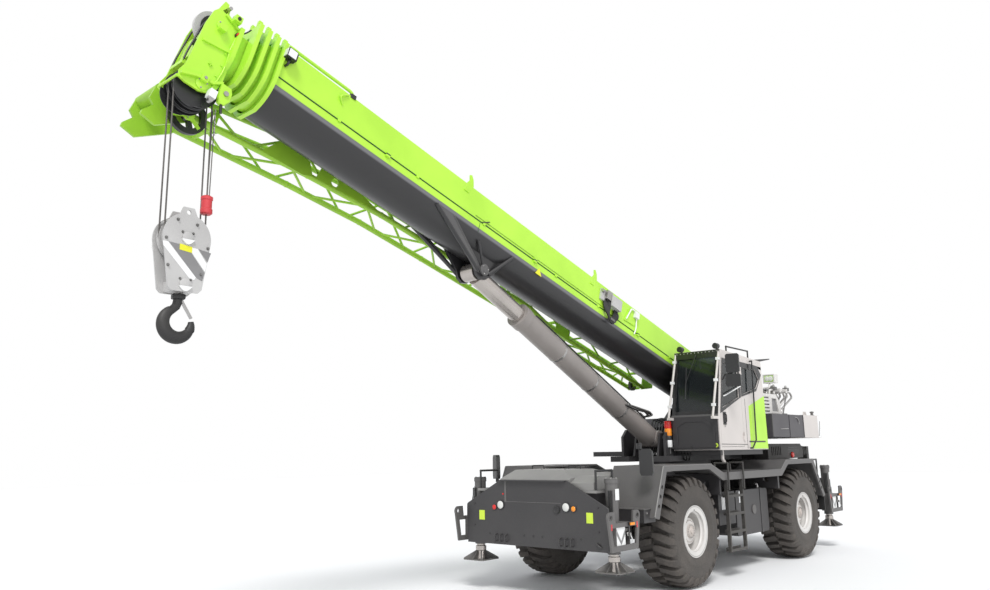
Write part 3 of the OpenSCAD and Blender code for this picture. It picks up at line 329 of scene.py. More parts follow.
def strips(rows, count, closed=False):
    """Faces between rows of count points each. A closed form joins its last row to the first."""
    faces = []
    for i in range(rows if closed else rows - 1):
        this, after = i * count, (i + 1) % rows * count
        faces += [[this + k, this + (k + 1) % count, after + (k + 1) % count, after + k]
            for k in range(count)]
    return faces


def caps(rows, count):
    """The two end faces of rows of count points each."""
    return [list(range(count - 1, -1, -1)), [(rows - 1) * count + k for k in range(count)]]


def span(side, a, b):
    """The places a and b on one side of the middle plane, the lower one first."""
    return sorted((side * a, side * b))


# Where a flat outline's two numbers a, b and its thickness t go, for each axis of thickness
PUT = {
    "x": lambda a, b, t: (t, a, b),
    "y": lambda a, b, t: (a, t, b),
    "z": lambda a, b, t: (a, b, t),
}


class Piece:
    """Gathers forms for one object; at moves its coordinates into the frame, body is what it moves with."""

    def __init__(self, name, body, at=HERE):
        self.name, self.body, self.at = name, body, at
        self.points, self.faces, self.paints, self.paint_of = [], [], [], []

    def form(self, points, faces, paint, at=None):
        start = len(self.points)
        self.points += [(at @ Vector(p) if at else Vector(p)) for p in points]
        if paint not in self.paints:
            self.paints.append(paint)
        self.faces += [[start + i for i in face] for face in faces]
        self.paint_of += [self.paints.index(paint)] * len(faces)
        return self

    def plate(self, axis, low, high, outline, paint, at=None):
        """A flat outline with a thickness along axis; its pairs follow the two other axes in order."""
        put = PUT[axis]
        n = len(outline)
        points = [put(a, b, low) for a, b in outline] + [put(a, b, high) for a, b in outline]
        faces = [list(range(n)), list(range(2 * n - 1, n - 1, -1))]
        faces += [[i, i + n, (i + 1) % n + n, (i + 1) % n] for i in range(n)]
        return self.form(points, faces, paint, at)

    def block(self, low, high, paint, at=None):
        (x0, y0, z0), (x1, y1, z1) = low, high
        return self.plate("x", x0, x1, [(y0, z0), (y1, z0), (y1, z1), (y0, z1)], paint, at)

    def tube(self, points, radius, paint, sides=12, bend=3.0, at=None):
        """A round tube through points. Each corner is rounded over bend times the radius."""
        points = [Vector(p) for p in points]
        way = [points[0]]
        for before, corner, after in zip(points, points[1:], points[2:]):
            a, b = before - corner, after - corner
            cut = min(bend * radius, a.length * 0.48, b.length * 0.48)
            a, b = corner + a.normalized() * cut, corner + b.normalized() * cut
            way += [a.lerp(corner, t).lerp(corner.lerp(b, t), t) for t in (0, 0.25, 0.5, 0.75, 1)]
        way.append(points[-1])
        way = [p for i, p in enumerate(way) if i == 0 or (p - way[i - 1]).length > 1e-5]
        side = None
        rings = []
        for i, p in enumerate(way):
            ahead = (way[min(i + 1, len(way) - 1)] - way[max(i - 1, 0)]).normalized()
            if side is None:
                side = ahead.orthogonal().normalized()
            side = (side - ahead * side.dot(ahead)).normalized()
            other = ahead.cross(side)
            rings += [p + radius * (side * math.cos(a) + other * math.sin(a)) for a in turns(sides)]
        return self.form(rings, strips(len(way), sides) + caps(len(way), sides), paint, at)

    def turned(self, centre, axis, profile, paint, sides=32, at=None, ring=False):
        """A profile of (place along axis, radius) pairs turned about the axis through centre.

        The two ends are closed with flat caps, or joined to each other when the profile is a ring's.
        """
        ahead = Vector({"x": (1, 0, 0), "y": (0, 1, 0), "z": (0, 0, 1)}.get(axis, axis)).normalized()
        side = ahead.orthogonal().normalized()
        other = ahead.cross(side)
        spokes = [side * math.cos(a) + other * math.sin(a) for a in turns(sides)]
        rings = [Vector(centre) + ahead * t + r * spoke for t, r in profile for spoke in spokes]
        rows = len(profile)
        faces = strips(rows, sides, ring) + ([] if ring else caps(rows, sides))
        return self.form(rings, faces, paint, at)

    def bolts(self, places, axis, radius, paint, height=0.02):
        """Hexagon heads with a washer, one at each place, standing up along axis."""
        for p in places:
            self.turned(p, axis, [(0, radius * 1.35), (height * 0.2, radius * 1.35)], paint, 16)
            self.turned(p, axis, [(height * 0.2, radius), (height * 0.9, radius), (height, radius * 0.82)],
                paint, 6)
        return self

    def build(self, soften=0.003):
        """Makes the mesh, sets which edges stay sharp, rounds them by soften and ties it to the body."""
        mesh = bpy.data.meshes.new(self.name)
        mesh.from_pydata([tuple(self.at @ p) for p in self.points], [], self.faces)
        for paint in self.paints:
            mesh.materials.append(paint)
        mesh.polygons.foreach_set("material_index", self.paint_of)
        bm = bmesh.new()
        bm.from_mesh(mesh)
        bmesh.ops.recalc_face_normals(bm, faces=bm.faces)
        for face in bm.faces:
            face.smooth = True
        for edge in bm.edges:
            edge.smooth = len(edge.link_faces) == 2 and edge.calc_face_angle(0) < 0.65
        bm.to_mesh(mesh)
        bm.free()
        thing = bpy.data.objects.new(self.name, mesh)
        scene.collection.objects.link(thing)
        if soften:
            round_off = thing.modifiers.new("rounded edges", "BEVEL")
            round_off.width, round_off.segments, round_off.limit_method = soften, 2, "ANGLE"
            round_off.angle_limit, round_off.harden_normals = 0.7, True
            round_off.use_clamp_overlap = True
        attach(thing, self.body)
        return thing


def circle(y, z, r, count=24, start=0.0, end=2 * math.pi):
    """Points of a round outline, or of an arc of it."""
    full = abs(end - start - 2 * math.pi) < 1e-6
    steps = count if full else count - 1
    return [(y + r * math.cos(start + (end - start) * k / steps),
        z + r * math.sin(start + (end - start) * k / steps)) for k in range(count)]


# Finishes for the small parts
tread = finish("tyre_tread", (0.034, 0.030, 0.028), (0.075, 0.064, 0.056), 0.8, dust=0.26, bump=0.5,
    grain=38, cloud=4, dust_top=2.4)
hose = finish("black_pipe", (0.012, 0.012, 0.012), (0.02, 0.02, 0.02), 0.5, dust=0.0, bump=0.2, grain=200)
amber = finish("amber_lens", (0.95, 0.33, 0.02), (0.8, 0.24, 0.02), 0.18, dust=0.0, bump=0.1)
red_lens = finish("red_lens", (0.75, 0.03, 0.02), (0.6, 0.02, 0.02), 0.2, dust=0.0, bump=0.1)
red_paint = finish("red_paint", (0.62, 0.05, 0.06), (0.5, 0.04, 0.05), 0.45, dust=0.0)
white_paint = finish("white_paint", (0.85, 0.85, 0.84), (0.78, 0.78, 0.77), 0.4, dust=0.1)
reflector = finish("yellow_green_reflector", (0.62, 0.80, 0.06), (0.55, 0.72, 0.05), 0.3, dust=0.0,
    bump=0.3, grain=400)
yellow = finish("yellow_paint", (0.80, 0.78, 0.03), (0.72, 0.70, 0.03), 0.4, dust=0.0)
black_gloss = finish("black_gloss_trim", (0.014, 0.014, 0.015), (0.02, 0.02, 0.021), 0.2, dust=0.05,
    bump=0.02)
bright = finish("bright_reflector_metal", (0.75, 0.75, 0.74), (0.6, 0.6, 0.6), 0.15, metal=0.9, dust=0.0)
hub_paint = finish("hub_paint", (0.56, 0.50, 0.46), (0.48, 0.43, 0.39), 0.5, dust=0.35, bump=0.15)
stripe_grey = finish("stripe_grey_paint", (0.24, 0.235, 0.235), (0.20, 0.195, 0.195), 0.45, dust=0.0)
# Dark green for thin lines on the boom: painted shade in its groove and beside a weld seam
line_shade_green = finish("painted_line_shade", (0.02, 0.10, 0.02), (0.015, 0.08, 0.015), 0.5, dust=0.0)
print("workshop ready,", len(bpy.data.materials), "finishes")

# %% [markdown]
# The tyres are earthmover tyres for loose ground: a smooth rubber body with two rows of deep lugs, half a
# pitch apart. Each lug starts at the middle of the tread, sweeps backwards and runs over the shoulder down
# the side. The body is turned from its half section; a lug is a strip of six cross sections.

# %% Tyres
LUGS = 28
SIDE = [(0.284, 0.404), (0.315, 0.410), (0.336, 0.470), (0.3405, 0.520), (0.3405, 0.545), (0.337, 0.552),
    (0.3385, 0.640), (0.330, 0.700), (0.312, 0.748), (0.275, 0.786), (0.15, 0.802), (0.0, 0.804)]
# Cross sections of a lug: place from the tyre's middle, radius, shift and half width in pitches, then the
# radius and the place of its foot inside the rubber
LUG = [
    (0.012, 0.872, 0.00, 0.21, 0.78, 0.010),
    (0.110, 0.873, 0.10, 0.25, 0.78, 0.110),
    (0.215, 0.866, 0.30, 0.28, 0.77, 0.215),
    (0.290, 0.838, 0.46, 0.29, 0.74, 0.270),
    (0.328, 0.792, 0.56, 0.27, 0.70, 0.290),
    (0.3402, 0.725, 0.66, 0.22, 0.69, 0.300),
]
FOOT_SPREAD = 1.18


def build_tyre(tag, side, y):
    piece = Piece("tyre_" + tag + "_tread", "wheel_" + tag,
        HERE @ Matrix.Translation((side * WHEEL_X, y, WHEEL_Z)))
    profile = [(-t, r) for t, r in SIDE] + [(t, r) for t, r in SIDE[-2::-1]]
    rings, count = [], 96
    for t, r in profile:
        rings += [(t, r * math.cos(a), r * math.sin(a)) for a in turns(count)]
    piece.form(rings, strips(len(profile), count, closed=True), rubber)
    pitch = 2 * math.pi / LUGS
    for row in (1, -1):
        for i in range(LUGS):
            base = (i + (0.5 if row < 0 else 0)) * pitch
            points = []
            for t, r, shift, half, foot, foot_t in LUG:
                wide = half * FOOT_SPREAD
                for spread, radius, across in ((-half, r, t), (half, r, t), (wide, foot, foot_t),
                    (-wide, foot, foot_t)):
                    a = base + (shift + spread) * pitch
                    points.append((row * across, radius * math.cos(a), radius * math.sin(a)))
            piece.form(points, strips(len(LUG), 4) + caps(len(LUG), 4), tread)
    thing = piece.build(soften=0.006)
    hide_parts("tyre_" + tag)
    return thing


WHEEL_X, WHEEL_Z = 1.28, 0.875
WHEELS = {"fl": (1, 0), "fr": (-1, 0), "rl": (1, WHEELBASE), "rr": (-1, WHEELBASE)}
for tag, (side, y) in WHEELS.items():
    build_tyre(tag, side, y)
print("tyres:", len(WHEELS), "with", 2 * LUGS, "lugs each")

# %% [markdown]
# The rims are three-piece wheels for wide tyres: a rolled base, a lock ring on the outside, and a deep disc
# with a ring of wheel nuts round the planetary hub. The hub's round cover has its own ring of small screws
# and a filler plug. Nuts and screws are hexagons with washers, set out on pitch circles.

# %% Hubs, lock rings and wheel nuts
for tag, (side, y) in WHEELS.items():
    piece = Piece("hub_" + tag, "wheel_" + tag, HERE @ Matrix.Translation((side * WHEEL_X, y, WHEEL_Z)))
    out = (side, 0, 0)
    lock_ring = [(0.298, 0.374), (0.311, 0.380), (0.313, 0.392), (0.305, 0.400), (0.296, 0.400)]
    piece.turned((0, 0, 0), out, lock_ring, steel, 72, ring=True)
    dish = [(0.262, 0.317), (0.252, 0.303), (0.235, 0.296), (0.218, 0.303), (0.210, 0.317)]
    piece.turned((0, 0, 0), out, dish, off_white, 72, ring=True)
    nuts = [(side * 0.060, 0.232 * math.cos(a), 0.232 * math.sin(a)) for a in turns(20)]
    piece.bolts(nuts, out, 0.016, steel, 0.03)
    cover = [(0, 0.116), (0.012, 0.116), (0.018, 0.108), (0.020, 0.05), (0.026, 0.042), (0.040, 0.040),
        (0.044, 0.0)]
    piece.turned((side * 0.2145, 0, 0), out, cover, hub_paint, 40)
    screws = [(side * 0.232, 0.098 * math.cos(a), 0.098 * math.sin(a)) for a in turns(16)]
    piece.bolts(screws, out, 0.0085, steel, 0.012)
    ring = [(side * 0.190, 0.168 * math.cos(a), 0.168 * math.sin(a)) for a in turns(24)]
    piece.bolts(ring, (side, 0, 0), 0.010, hub_paint, 0.02)
    piece.tube([(side * 0.296, 0.0, 0.336), (side * 0.318, 0.0, 0.330)], 0.006, black_plastic, 10)
    piece.build(soften=0.0015)
print("hubs: 4")

# %% [markdown]
# The head is the busiest end of the boom: a clear floodlight on an arm, a switch box that stops the hook
# before it meets the sheaves, its chain and red weight on thin ropes, a rope guard rod down the front, and
# a cable clipped along the side plate. Each is folded sheet, bar or cable, so plates and tubes make them.

# %% Boom head details
piece = Piece("head_fittings", "boom_section_5", BOOM)
# Screen bar and rope retainer down the front of the upper sheave
for x in (0.13, -0.13):
    retainer = [(x, -12.235, 0.66), (x, -12.36, 0.32), (x, -12.405, -0.10), (x, -12.41, -0.24)]
    piece.tube(retainer, 0.011, black_plastic)
piece.block((0.105, -12.385, 0.02), (0.155, -12.345, 0.09), black_plastic)
# Pale turned ring round the upper sheave's groove
groove = [(-0.03, 0.16), (-0.03, 0.235), (-0.02, 0.225), (0.02, 0.225), (0.03, 0.235), (0.03, 0.16)]
piece.turned((0.03, -12.20, 0.38), "x", groove, block_grey, 48, ring=True)
piece.block((-0.14, -12.42, -0.27), (0.14, -12.365, -0.22), lime)
# Top spine with a small roller and the folded bar from the tip down to the collar
piece.plate("x", 0.205, 0.235, [(-12.25, 0.568), (-12.21, 0.640), (-12.17, 0.640), (-12.16, 0.54)], lime)
piece.tube([(0.15, -12.19, 0.625), (0.29, -12.19, 0.625)], 0.022, steel)
piece.plate("x", 0.236, 0.262, [(-12.20, 0.555), (-11.99, 0.47), (-11.99, 0.44), (-12.20, 0.525)], lime)
# Pads and small boxes on the left plate
piece.block((0.236, -12.12, 0.50), (0.330, -12.03, 0.58), lime)
piece.turned((0.330, -12.075, 0.54), "x", [(0, 0.022), (0.012, 0.022), (0.012, 0.0)], black_plastic, 20)
piece.block((0.236, -12.21, -0.41), (0.300, -12.13, -0.33), lime)
piece.turned((0.30, -12.17, -0.37), "x", [(0, 0.018), (0.01, 0.018), (0.01, 0.0)], steel, 20)
piece.block((0.236, -12.185, -0.155), (0.252, -12.135, -0.145), lime)
piece.block((0.236, -12.165, -0.175), (0.252, -12.155, -0.125), lime)
# Cable from the red lamp down the plate, with clips
piece.turned((0.262, -11.995, 0.385), "x", [(0, 0.026), (0.03, 0.026), (0.045, 0.016), (0.047, 0.0)],
    red_lens, 24)
piece.turned((0.236, -11.995, 0.385), "x", [(0, 0.034), (0.028, 0.034), (0.028, 0.0)], black_plastic, 24)
cable = [(0.25, -12.00, 0.35), (0.248, -12.02, 0.16), (0.248, -12.00, 0.00), (0.248, -12.005, -0.16),
    (0.248, -12.05, -0.40), (0.262, -12.06, -0.47)]
piece.tube(cable, 0.010, lime, 10, 6)
piece.bolts([(0.236, -12.05, 0.08), (0.236, -12.04, -0.08), (0.236, -12.06, -0.24)], "x", 0.010, lime,
    0.014)
piece.tube([(0.25, -11.99, 0.40), (0.30, -11.93, 0.46), (0.32, -11.90, 0.52)], 0.009, hose, 8, 6)
# Bolts of both sheave pins, keeper plates
for side in (1, -1):
    for (y, z), r in (((-12.166, -0.424), 0.075), ((-12.20, 0.38), 0.06)):
        piece.turned((side * 0.236, y, z), (side, 0, 0),
            [(0, r), (0.012, r), (0.016, r - 0.01), (0.016, 0)], lime, 32)
        piece.bolts([(side * 0.252, y + (r - 0.02) * math.cos(a), z + (r - 0.02) * math.sin(a))
            for a in (0.5, 2.6, 4.7)], (side, 0, 0), 0.008, steel, 0.01)
# Hoist limit switch: a bright box under the plate, its arm, and the rope end fixing at the collar's foot
piece.block((0.238, -12.085, -0.555), (0.330, -12.000, -0.455), white_paint)
piece.turned((0.285, -12.04, -0.575), "x", [(-0.03, 0.030), (0.03, 0.030)], steel, 20)
piece.plate("x", 0.245, 0.290,
    [(-11.98, -0.30), (-11.86, -0.30), (-11.83, -0.36), (-11.83, -0.46), (-11.88, -0.54), (-11.95, -0.54),
    (-11.97, -0.44)], lime)
piece.turned((0.290, -11.90, -0.40), "x", [(0, 0.030), (0.02, 0.030), (0.02, 0.0)], steel, 24)
piece.tube([(0.268, -11.90, -0.54), (0.268, -11.87, -0.64)], 0.016, black_plastic)
piece.block((-0.235, -12.37, -0.58), (-0.205, -12.02, -0.50), lime)
piece.build()

# Half-round black guards over the lower sheaves
guard = Piece("sheave_guards", "boom_section_5", BOOM)
skirt = circle(-12.225, -0.505, 0.205, 24, math.pi, 2 * math.pi)
for x in (0.150, -0.162):
    guard.plate("x", x, x + 0.012, skirt, black_plastic)
guard.build()

# Root of the stowed jib: spokes, a hub cap and bolts over its ring sheave
root = Piece("jib_root_details", "boom", BOOM)
RING_Y, RING_Z = -11.96, -0.48
for k in range(3):
    turn = math.radians(90 + 120 * k)
    along_y, along_z = math.cos(turn), math.sin(turn)
    spoke = [(RING_Y + 0.05 * along_y - 0.028 * along_z, RING_Z + 0.05 * along_z + 0.028 * along_y),
             (RING_Y + 0.20 * along_y - 0.022 * along_z, RING_Z + 0.20 * along_z + 0.022 * along_y),
             (RING_Y + 0.20 * along_y + 0.022 * along_z, RING_Z + 0.20 * along_z - 0.022 * along_y),
             (RING_Y + 0.05 * along_y + 0.028 * along_z, RING_Z + 0.05 * along_z - 0.028 * along_y)]
    root.plate("x", -0.3945, -0.385, spoke, lime)
root.turned((-0.394, RING_Y, RING_Z), "x", [(0, 0.075), (0.016, 0.075), (0.020, 0.065), (0.020, 0)], lime,
    32)
root.bolts([(-0.376, RING_Y + 0.045 * math.cos(a), RING_Z + 0.045 * math.sin(a)) for a in (0.5, 2.6, 4.7)],
    "x", 0.008, steel, 0.010)
root.build()
print("head fittings, guards and jib root")

# %% [markdown]
# The weight of the hoist limit switch hangs round the right-hand falls on two thin ropes with a chain at the
# top. Taut ropes are part of the rigging, so they are round bars with a fine bump in the finish.

# %% Switch weight and its ropes
limit = Piece("switch_weight", "hook_tackle", Matrix.Identity(4))
fall_y = (BOOM @ Vector((0, -12.166, -0.424))).y + 0.229
for x in (0.06, 0.012):
    limit.tube([(x + 0.075, fall_y, 6.02), (x + 0.050, fall_y, 4.99)], 0.006, rope, 8)
limit.turned((0.06, fall_y, 4.80), "z",
    [(0.0, 0.050), (0.015, 0.066), (0.06, 0.066), (0.07, 0.058), (0.16, 0.058), (0.17, 0.066),
    (0.20, 0.066), (0.215, 0.045)], red_paint, 28)
for k in range(9):
    z = 6.02 - 0.035 * k
    link = (0.143, fall_y, z - 0.03) if k % 2 else (0.135, fall_y + 0.008, z - 0.03)
    limit.tube([(0.135, fall_y, z), link], 0.0075, steel, 8)
limit.build(soften=0)
print("switch weight")

# %% [markdown]
# The hook block has two light cheek plates with broad white and grey warning bands, pin ends with keeper
# half moons, screws, and a blank yellow plate. The bands are thin painted sheets on the plate, cut to its
# outline. The forged hook is a bar whose thickness swells at the belly, so its sweep carries a list of radii.

# %% Hook block and hook
hang_y = (BOOM @ Vector((0, -12.166, -0.424))).y
block_at = Matrix.Translation((0, hang_y, 0))
piece = Piece("block_markings", "hook_tackle", block_at)
for side in (1, -1):
    face = 0.1305 * side
    rim = sorted((face, face + 0.002 * side))
    piece.plate("x", *rim,
        [(-0.270, 4.400), (-0.215, 4.400), (0.115, 4.060), (0.100, 4.030), (0.055, 4.030), (-0.262, 4.350)],
        white_paint)
    piece.plate("x", *rim, [(0.000, 4.385), (0.120, 4.375), (0.232, 4.230), (0.216, 4.135)], white_paint)
    piece.plate("x", *rim,
        [(-0.205, 4.402), (-0.010, 4.388), (0.214, 4.125), (0.188, 4.030), (0.125, 4.055)], stripe_grey)
    piece.plate("x", *rim, [(0.128, 4.376), (0.275, 4.355), (0.240, 4.245)], stripe_grey)
    low, high = sorted((face, face + 0.005 * side))
    piece.plate("x", low, high, [(-0.085, 4.40), (0.055, 4.385), (0.055, 4.32), (-0.085, 4.335)], yellow)
    out = (side, 0, 0)
    for z in (4.48, 3.97):
        piece.turned((face, 0, z), out, [(0, 0.062), (0.012, 0.062), (0.016, 0.056), (0.016, 0)],
            block_grey, 32)
        piece.plate("x", *sorted((face, face + 0.022 * side)),
            [(-0.075 + 0.15 * k / 12, z - 0.022 - 0.055 * math.sin(math.pi * k / 12)) for k in range(13)],
            white_paint)
        piece.bolts([(face, -0.06, z + 0.055), (face, 0.06, z + 0.055)], out, 0.011, casting, 0.016)
    piece.bolts([(face, y, z) for y,
        z in ((-0.12, 4.66), (0.10, 4.64), (-0.235, 4.44), (0.235, 4.40), (-0.20, 4.15), (0.17, 4.10))],
        out, 0.013, casting, 0.02)
piece.build(soften=0.001)

swivel = Piece("forged_hook", "hook_swivel", block_at)
bowl_z, count = 3.56, 40
way, sizes = [], []
for k in range(count + 1):
    t = k / count
    a = math.radians(112 + 262 * t)
    r = 0.158 - 0.012 * math.sin(math.pi * t)
    way.append((0, r * math.cos(a) * 1.02, bowl_z + r * math.sin(a) * 1.0))
    sizes.append(0.044 + 0.030 * math.sin(math.pi * min(1, t * 1.15)) ** 0.8
        if t < 0.87 else 0.044 * (1 - (t - 0.87) / 0.13 * 0.55) + 0.010)
spine = [Vector((0, 0.0, 3.865)), Vector((0, -0.004, 3.80)), Vector((0, -0.022, 3.745))]
way = spine + [Vector(p) for p in way]
sizes = [0.050, 0.050, 0.047] + sizes
swivel_points, side_count = [], 20
for i, p in enumerate(way):
    ahead = (Vector(way[min(i + 1, len(way) - 1)]) - Vector(way[max(i - 1, 0)])).normalized()
    across = Vector((1, 0, 0))
    normal = ahead.cross(across)
    swivel_points += [p + sizes[i] * (across * math.cos(a) * 0.86 + normal * math.sin(a))
        for a in turns(side_count)]
swivel.form(swivel_points, strips(len(way), side_count) + caps(len(way), side_count), forged)
swivel.turned((0, 0, 3.825), "z", [(0, 0.070), (0.012, 0.078), (0.045, 0.078), (0.055, 0.070)], forged, 6)
swivel.tube([(0, 0.0, 3.90), (0, 0.0, 3.84)], 0.048, steel, 24)
# Safety latch, a pressed strip from the shank to the tip
swivel.plate("x", -0.022, 0.022, [(0.035, 3.800), (0.052, 3.808), (0.162, 3.640), (0.150, 3.628)], steel)
swivel.turned((-0.03, 0.040, 3.800), "x", [(0, 0.012), (0.06, 0.012)], steel, 16)
hook_piece = swivel.build(soften=0)
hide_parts("hook")
print("hook block and hook")

# %% [markdown]
# Along the boom run a groove, drawn as a thin dark green line of painted shade, with clips, a floodlight near
# the first collar, a valve box with short bent pipes and a plate bracket near the cab. These are bars, blocks
# and tubes that lie on the boom's side, so their places are counted along the boom.

# %% Boom side details
piece = Piece("boom_fittings", "boom", BOOM)
# The groove along the side: thin dark green tubes of painted shade
piece.tube([(0.384, -11.42, 0.156), (0.384, -4.72, 0.156)], 0.007, line_shade_green, 8)
piece.tube([(0.384, -4.60, 0.156), (0.384, -0.80, 0.156)], 0.007, line_shade_green, 8)
piece.tube([(0.385, -7.90, 0.20), (0.385, -4.40, 0.20)], 0.003, line_shade_green, 6)
for y in (-10.5, -9.1, -7.70, -5.9, -4.66, -2.2):
    piece.block((0.379, y - 0.025, 0.135), (0.396, y + 0.025, 0.180), lime)
piece.tube([(0.386, -7.74, 0.16), (0.402, -7.66, 0.20), (0.392, -7.60, 0.24)], 0.009, black_plastic, 8)
# Weld seam across the belly's shoulder, a thin dark green line of painted shade
piece.tube([(0.3815, -7.78, -0.02), (0.3815, -7.78, 0.14)], 0.0035, line_shade_green, 6)
# Floodlight on an arm near the front collar
piece.plate("y", -11.46, -11.445, [(0.378, 0.22), (0.400, 0.22), (0.430, 0.40), (0.378, 0.44)], lime)
piece.tube([(0.385, -11.40, 0.34), (0.445, -11.40, 0.34), (0.445, -11.40, 0.40)], 0.016, black_plastic)
piece.block((0.395, -11.47, 0.405), (0.500, -11.345, 0.530), black_plastic)
piece.block((0.404, -11.478, 0.417), (0.491, -11.468, 0.518), lens)
piece.block((0.498, -11.462, 0.417), (0.506, -11.353, 0.518), white_paint)
for k in range(5):
    piece.block((0.405 + 0.018 * k, -11.345, 0.415), (0.411 + 0.018 * k, -11.325, 0.522), black_plastic)
# Top rail stays, tie bar clamp and hooks on the side
piece.tube([(-0.30, -10.45, 0.708), (-0.30, -10.30, 0.708)], 0.030, black_plastic)
piece.tube([(0.33, -11.40, 0.66), (0.345, -10.42, 0.66), (0.36, -10.38, 0.58)], 0.022, lime, 14)
piece.block((0.33, -10.44, 0.56), (0.392, -10.36, 0.62), black_plastic)
piece.tube([(0.386, -10.52, 0.38), (0.410, -10.60, 0.46), (0.392, -10.48, 0.56)], 0.012, lime, 10)
for y in (-8.10, -4.84):
    piece.plate("x", 0.366, 0.381,
        [(y - 0.10, 0.50), (y + 0.02, 0.50), (y + 0.05, 0.60), (y + 0.02, 0.70), (y - 0.03, 0.76),
        (y - 0.07, 0.74), (y - 0.05, 0.66), (y - 0.09, 0.60)], lime)
    piece.block((0.366, y - 0.13, 0.455), (0.392, y - 0.03, 0.475), lime)
# Valve box, its bracket and hoses; then the plate bracket
piece.block((0.380, -4.66, 0.30), (0.420, -4.52, 0.50), block_grey)
piece.block((0.382, -4.42, 0.26), (0.500, -4.12, 0.46), block_grey)
piece.block((0.382, -4.56, 0.34), (0.480, -4.40, 0.50), steel)
piece.turned((0.43, -4.66, 0.46), "y", [(0, 0.030), (0.05, 0.030)], steel, 20)
for k in range(6):
    drop = 0.02 * k
    piece.tube([(0.400 + 0.012 * k, -4.56 + 0.03 * k, 0.36),
        (0.440 + 0.006 * k, -4.54 + 0.02 * k, 0.14 - drop), (0.450, -4.34 + 0.01 * k, 0.04 - drop),
        (0.425 + 0.010 * k, -4.24 + 0.02 * k, 0.14), (0.415, -4.22 + 0.015 * k, 0.27)], 0.014, hose, 10, 6)
piece.block((0.380, -4.36, 0.02), (0.470, -4.20, 0.06), casting)
piece.plate("x", 0.383, 0.395, [(-3.86, 0.24), (-3.74, 0.50), (-3.50, 0.50), (-3.44, 0.42), (-3.52, 0.26)],
    lime)
piece.tube([(0.40, -3.80, 0.28), (0.42, -3.70, 0.52), (0.42, -3.52, 0.52), (0.40, -3.46, 0.22),
    (0.40, -3.50, 0.10)], 0.013, white_paint, 10)
piece.block((0.395, -3.58, 0.40), (0.450, -3.46, 0.52), white_paint)
# A small blank yellow triangle on the belly
piece.plate("x", 0.376, 0.381, [(-6.40, -0.03), (-6.24, -0.03), (-6.32, 0.09)], yellow)
piece.build()
print("boom fittings")

# %% [markdown]
# Under the boom's middle, the lift cylinder's eye is held by two tall triangular gussets with bright rounded
# edges that run up to the boom's shoulder. They are flame-cut plate, so each is an outline with a thickness,
# and the edges are bars laid along it.

# %% Gussets round the lift cylinder's eye
piece = Piece("eye_gussets", "boom", BOOM)
for side in (1, -1):
    def lean(y, z, out_by=0.0):
        """A point on the gusset: it leans from the boom's side at the top to the eye at the foot."""
        t = (z + 0.02) / (-0.47 + 0.02)
        return (side * (0.372 - t * 0.150 + out_by), y, z)

    outline = [(-8.62, -0.02), (-8.30, -0.02), (-7.52, -0.40), (-7.42, -0.50), (-7.52, -0.50),
        (-7.75, -0.40)]
    front = [lean(y, z, 0.004) for y, z in outline]
    back = [lean(y, z, -0.008) for y, z in outline]
    n = len(outline)
    faces = [list(range(n)), list(range(2 * n - 1, n - 1, -1))]
    faces += [[i, i + n, (i + 1) % n + n, (i + 1) % n] for i in range(n)]
    piece.form(front + back, faces, frame_grey)
    piece.tube([lean(-8.30, -0.02, 0.004), lean(-7.52, -0.40, 0.004), (side * 0.226, -7.44, -0.47)], 0.010,
        frame_grey, 8)
    piece.turned((side * 0.237, -7.38, -0.43), (side, 0, 0),
        [(0, 0.088), (0.03, 0.088), (0.034, 0.080), (0.034, 0.05), (0.042, 0.046), (0.042, 0.0)],
        frame_grey, 40)
    piece.bolts([(side * 0.271, -7.38 + 0.066 * math.cos(a), -0.43 + 0.066 * math.sin(a))
        for a in (0.4, 2.5, 4.6)], (side, 0, 0), 0.009, steel, 0.012)
piece.build()

cyl_foot = Vector((0, 1.45 + FRONT_AXLE_Y, 2.38))
eye = BOOM @ Vector((0, -7.38, -0.43))
lift_up = (eye - cyl_foot).normalized()
LIFT = Matrix.Translation(cyl_foot) @ Matrix.Rotation(-math.atan2(lift_up.z, -lift_up.y), 4, "X")
piece = Piece("barrel_fittings", "lift_cylinder", LIFT)
for y in (-1.2, -2.2, -3.2):
    piece.turned((0, y, 0), "y", [(-0.02, 0.1855), (-0.02, 0.189), (0.02, 0.189), (0.02, 0.1855)], steel,
        48)
    piece.block((-0.03, y - 0.03, 0.178), (0.03, y + 0.03, 0.208), black_plastic)
piece.tube([(0.075, -0.45, 0.176), (0.075, -0.60, 0.196), (0.075, -3.90, 0.196), (0.075, -4.02, 0.184)],
    0.013, black_plastic, 10)
piece.turned((0, -4.18, 0), "y", [(-0.025, 0.150), (-0.025, 0.192), (-0.012, 0.200), (0.0, 0.200)],
    cylinder_grey, 64)
piece.bolts([(0.172 * math.cos(a), -4.205, 0.172 * math.sin(a))
    for a in [2 * math.pi * (k + 0.5) / 14 for k in range(14)]], "y", 0.010, steel, -0.014)
piece.block((-0.07, -0.62, 0.15), (0.07, -0.42, 0.235), casting)
for x in (-0.045, 0.0, 0.045):
    piece.turned((x, -0.52, 0.235), "z", [(0, 0.018), (0.02, 0.018), (0.024, 0.012), (0.04, 0.012)], steel,
        16)
# Formed pipes from the valve block round the barrel's foot
for k in range(4):
    x = 0.060 + 0.035 * k
    bent = [(x, -0.50, 0.20), (x + 0.05, -0.42, 0.27), (x + 0.10, -0.62, 0.24),
        (0.20, -0.95 - 0.06 * k, 0.10), (0.20, -1.30, 0.02)]
    piece.tube(bent, 0.013, (black_plastic, casting)[k % 2], 10, 4)
piece.build()
print("gussets and cylinder fittings")

# %% [markdown]
# The cab's front is a big raked windscreen in a black gloss surround above a charcoal lower panel with a
# pressed recess. The side has one black window band whose lower edge slants down to the front, cut into a
# door pane and a rear pane, and a lime panel behind the door. The surrounds are printed glass and sheet on
# the real cab, so they are thin rings that follow the window's outline.


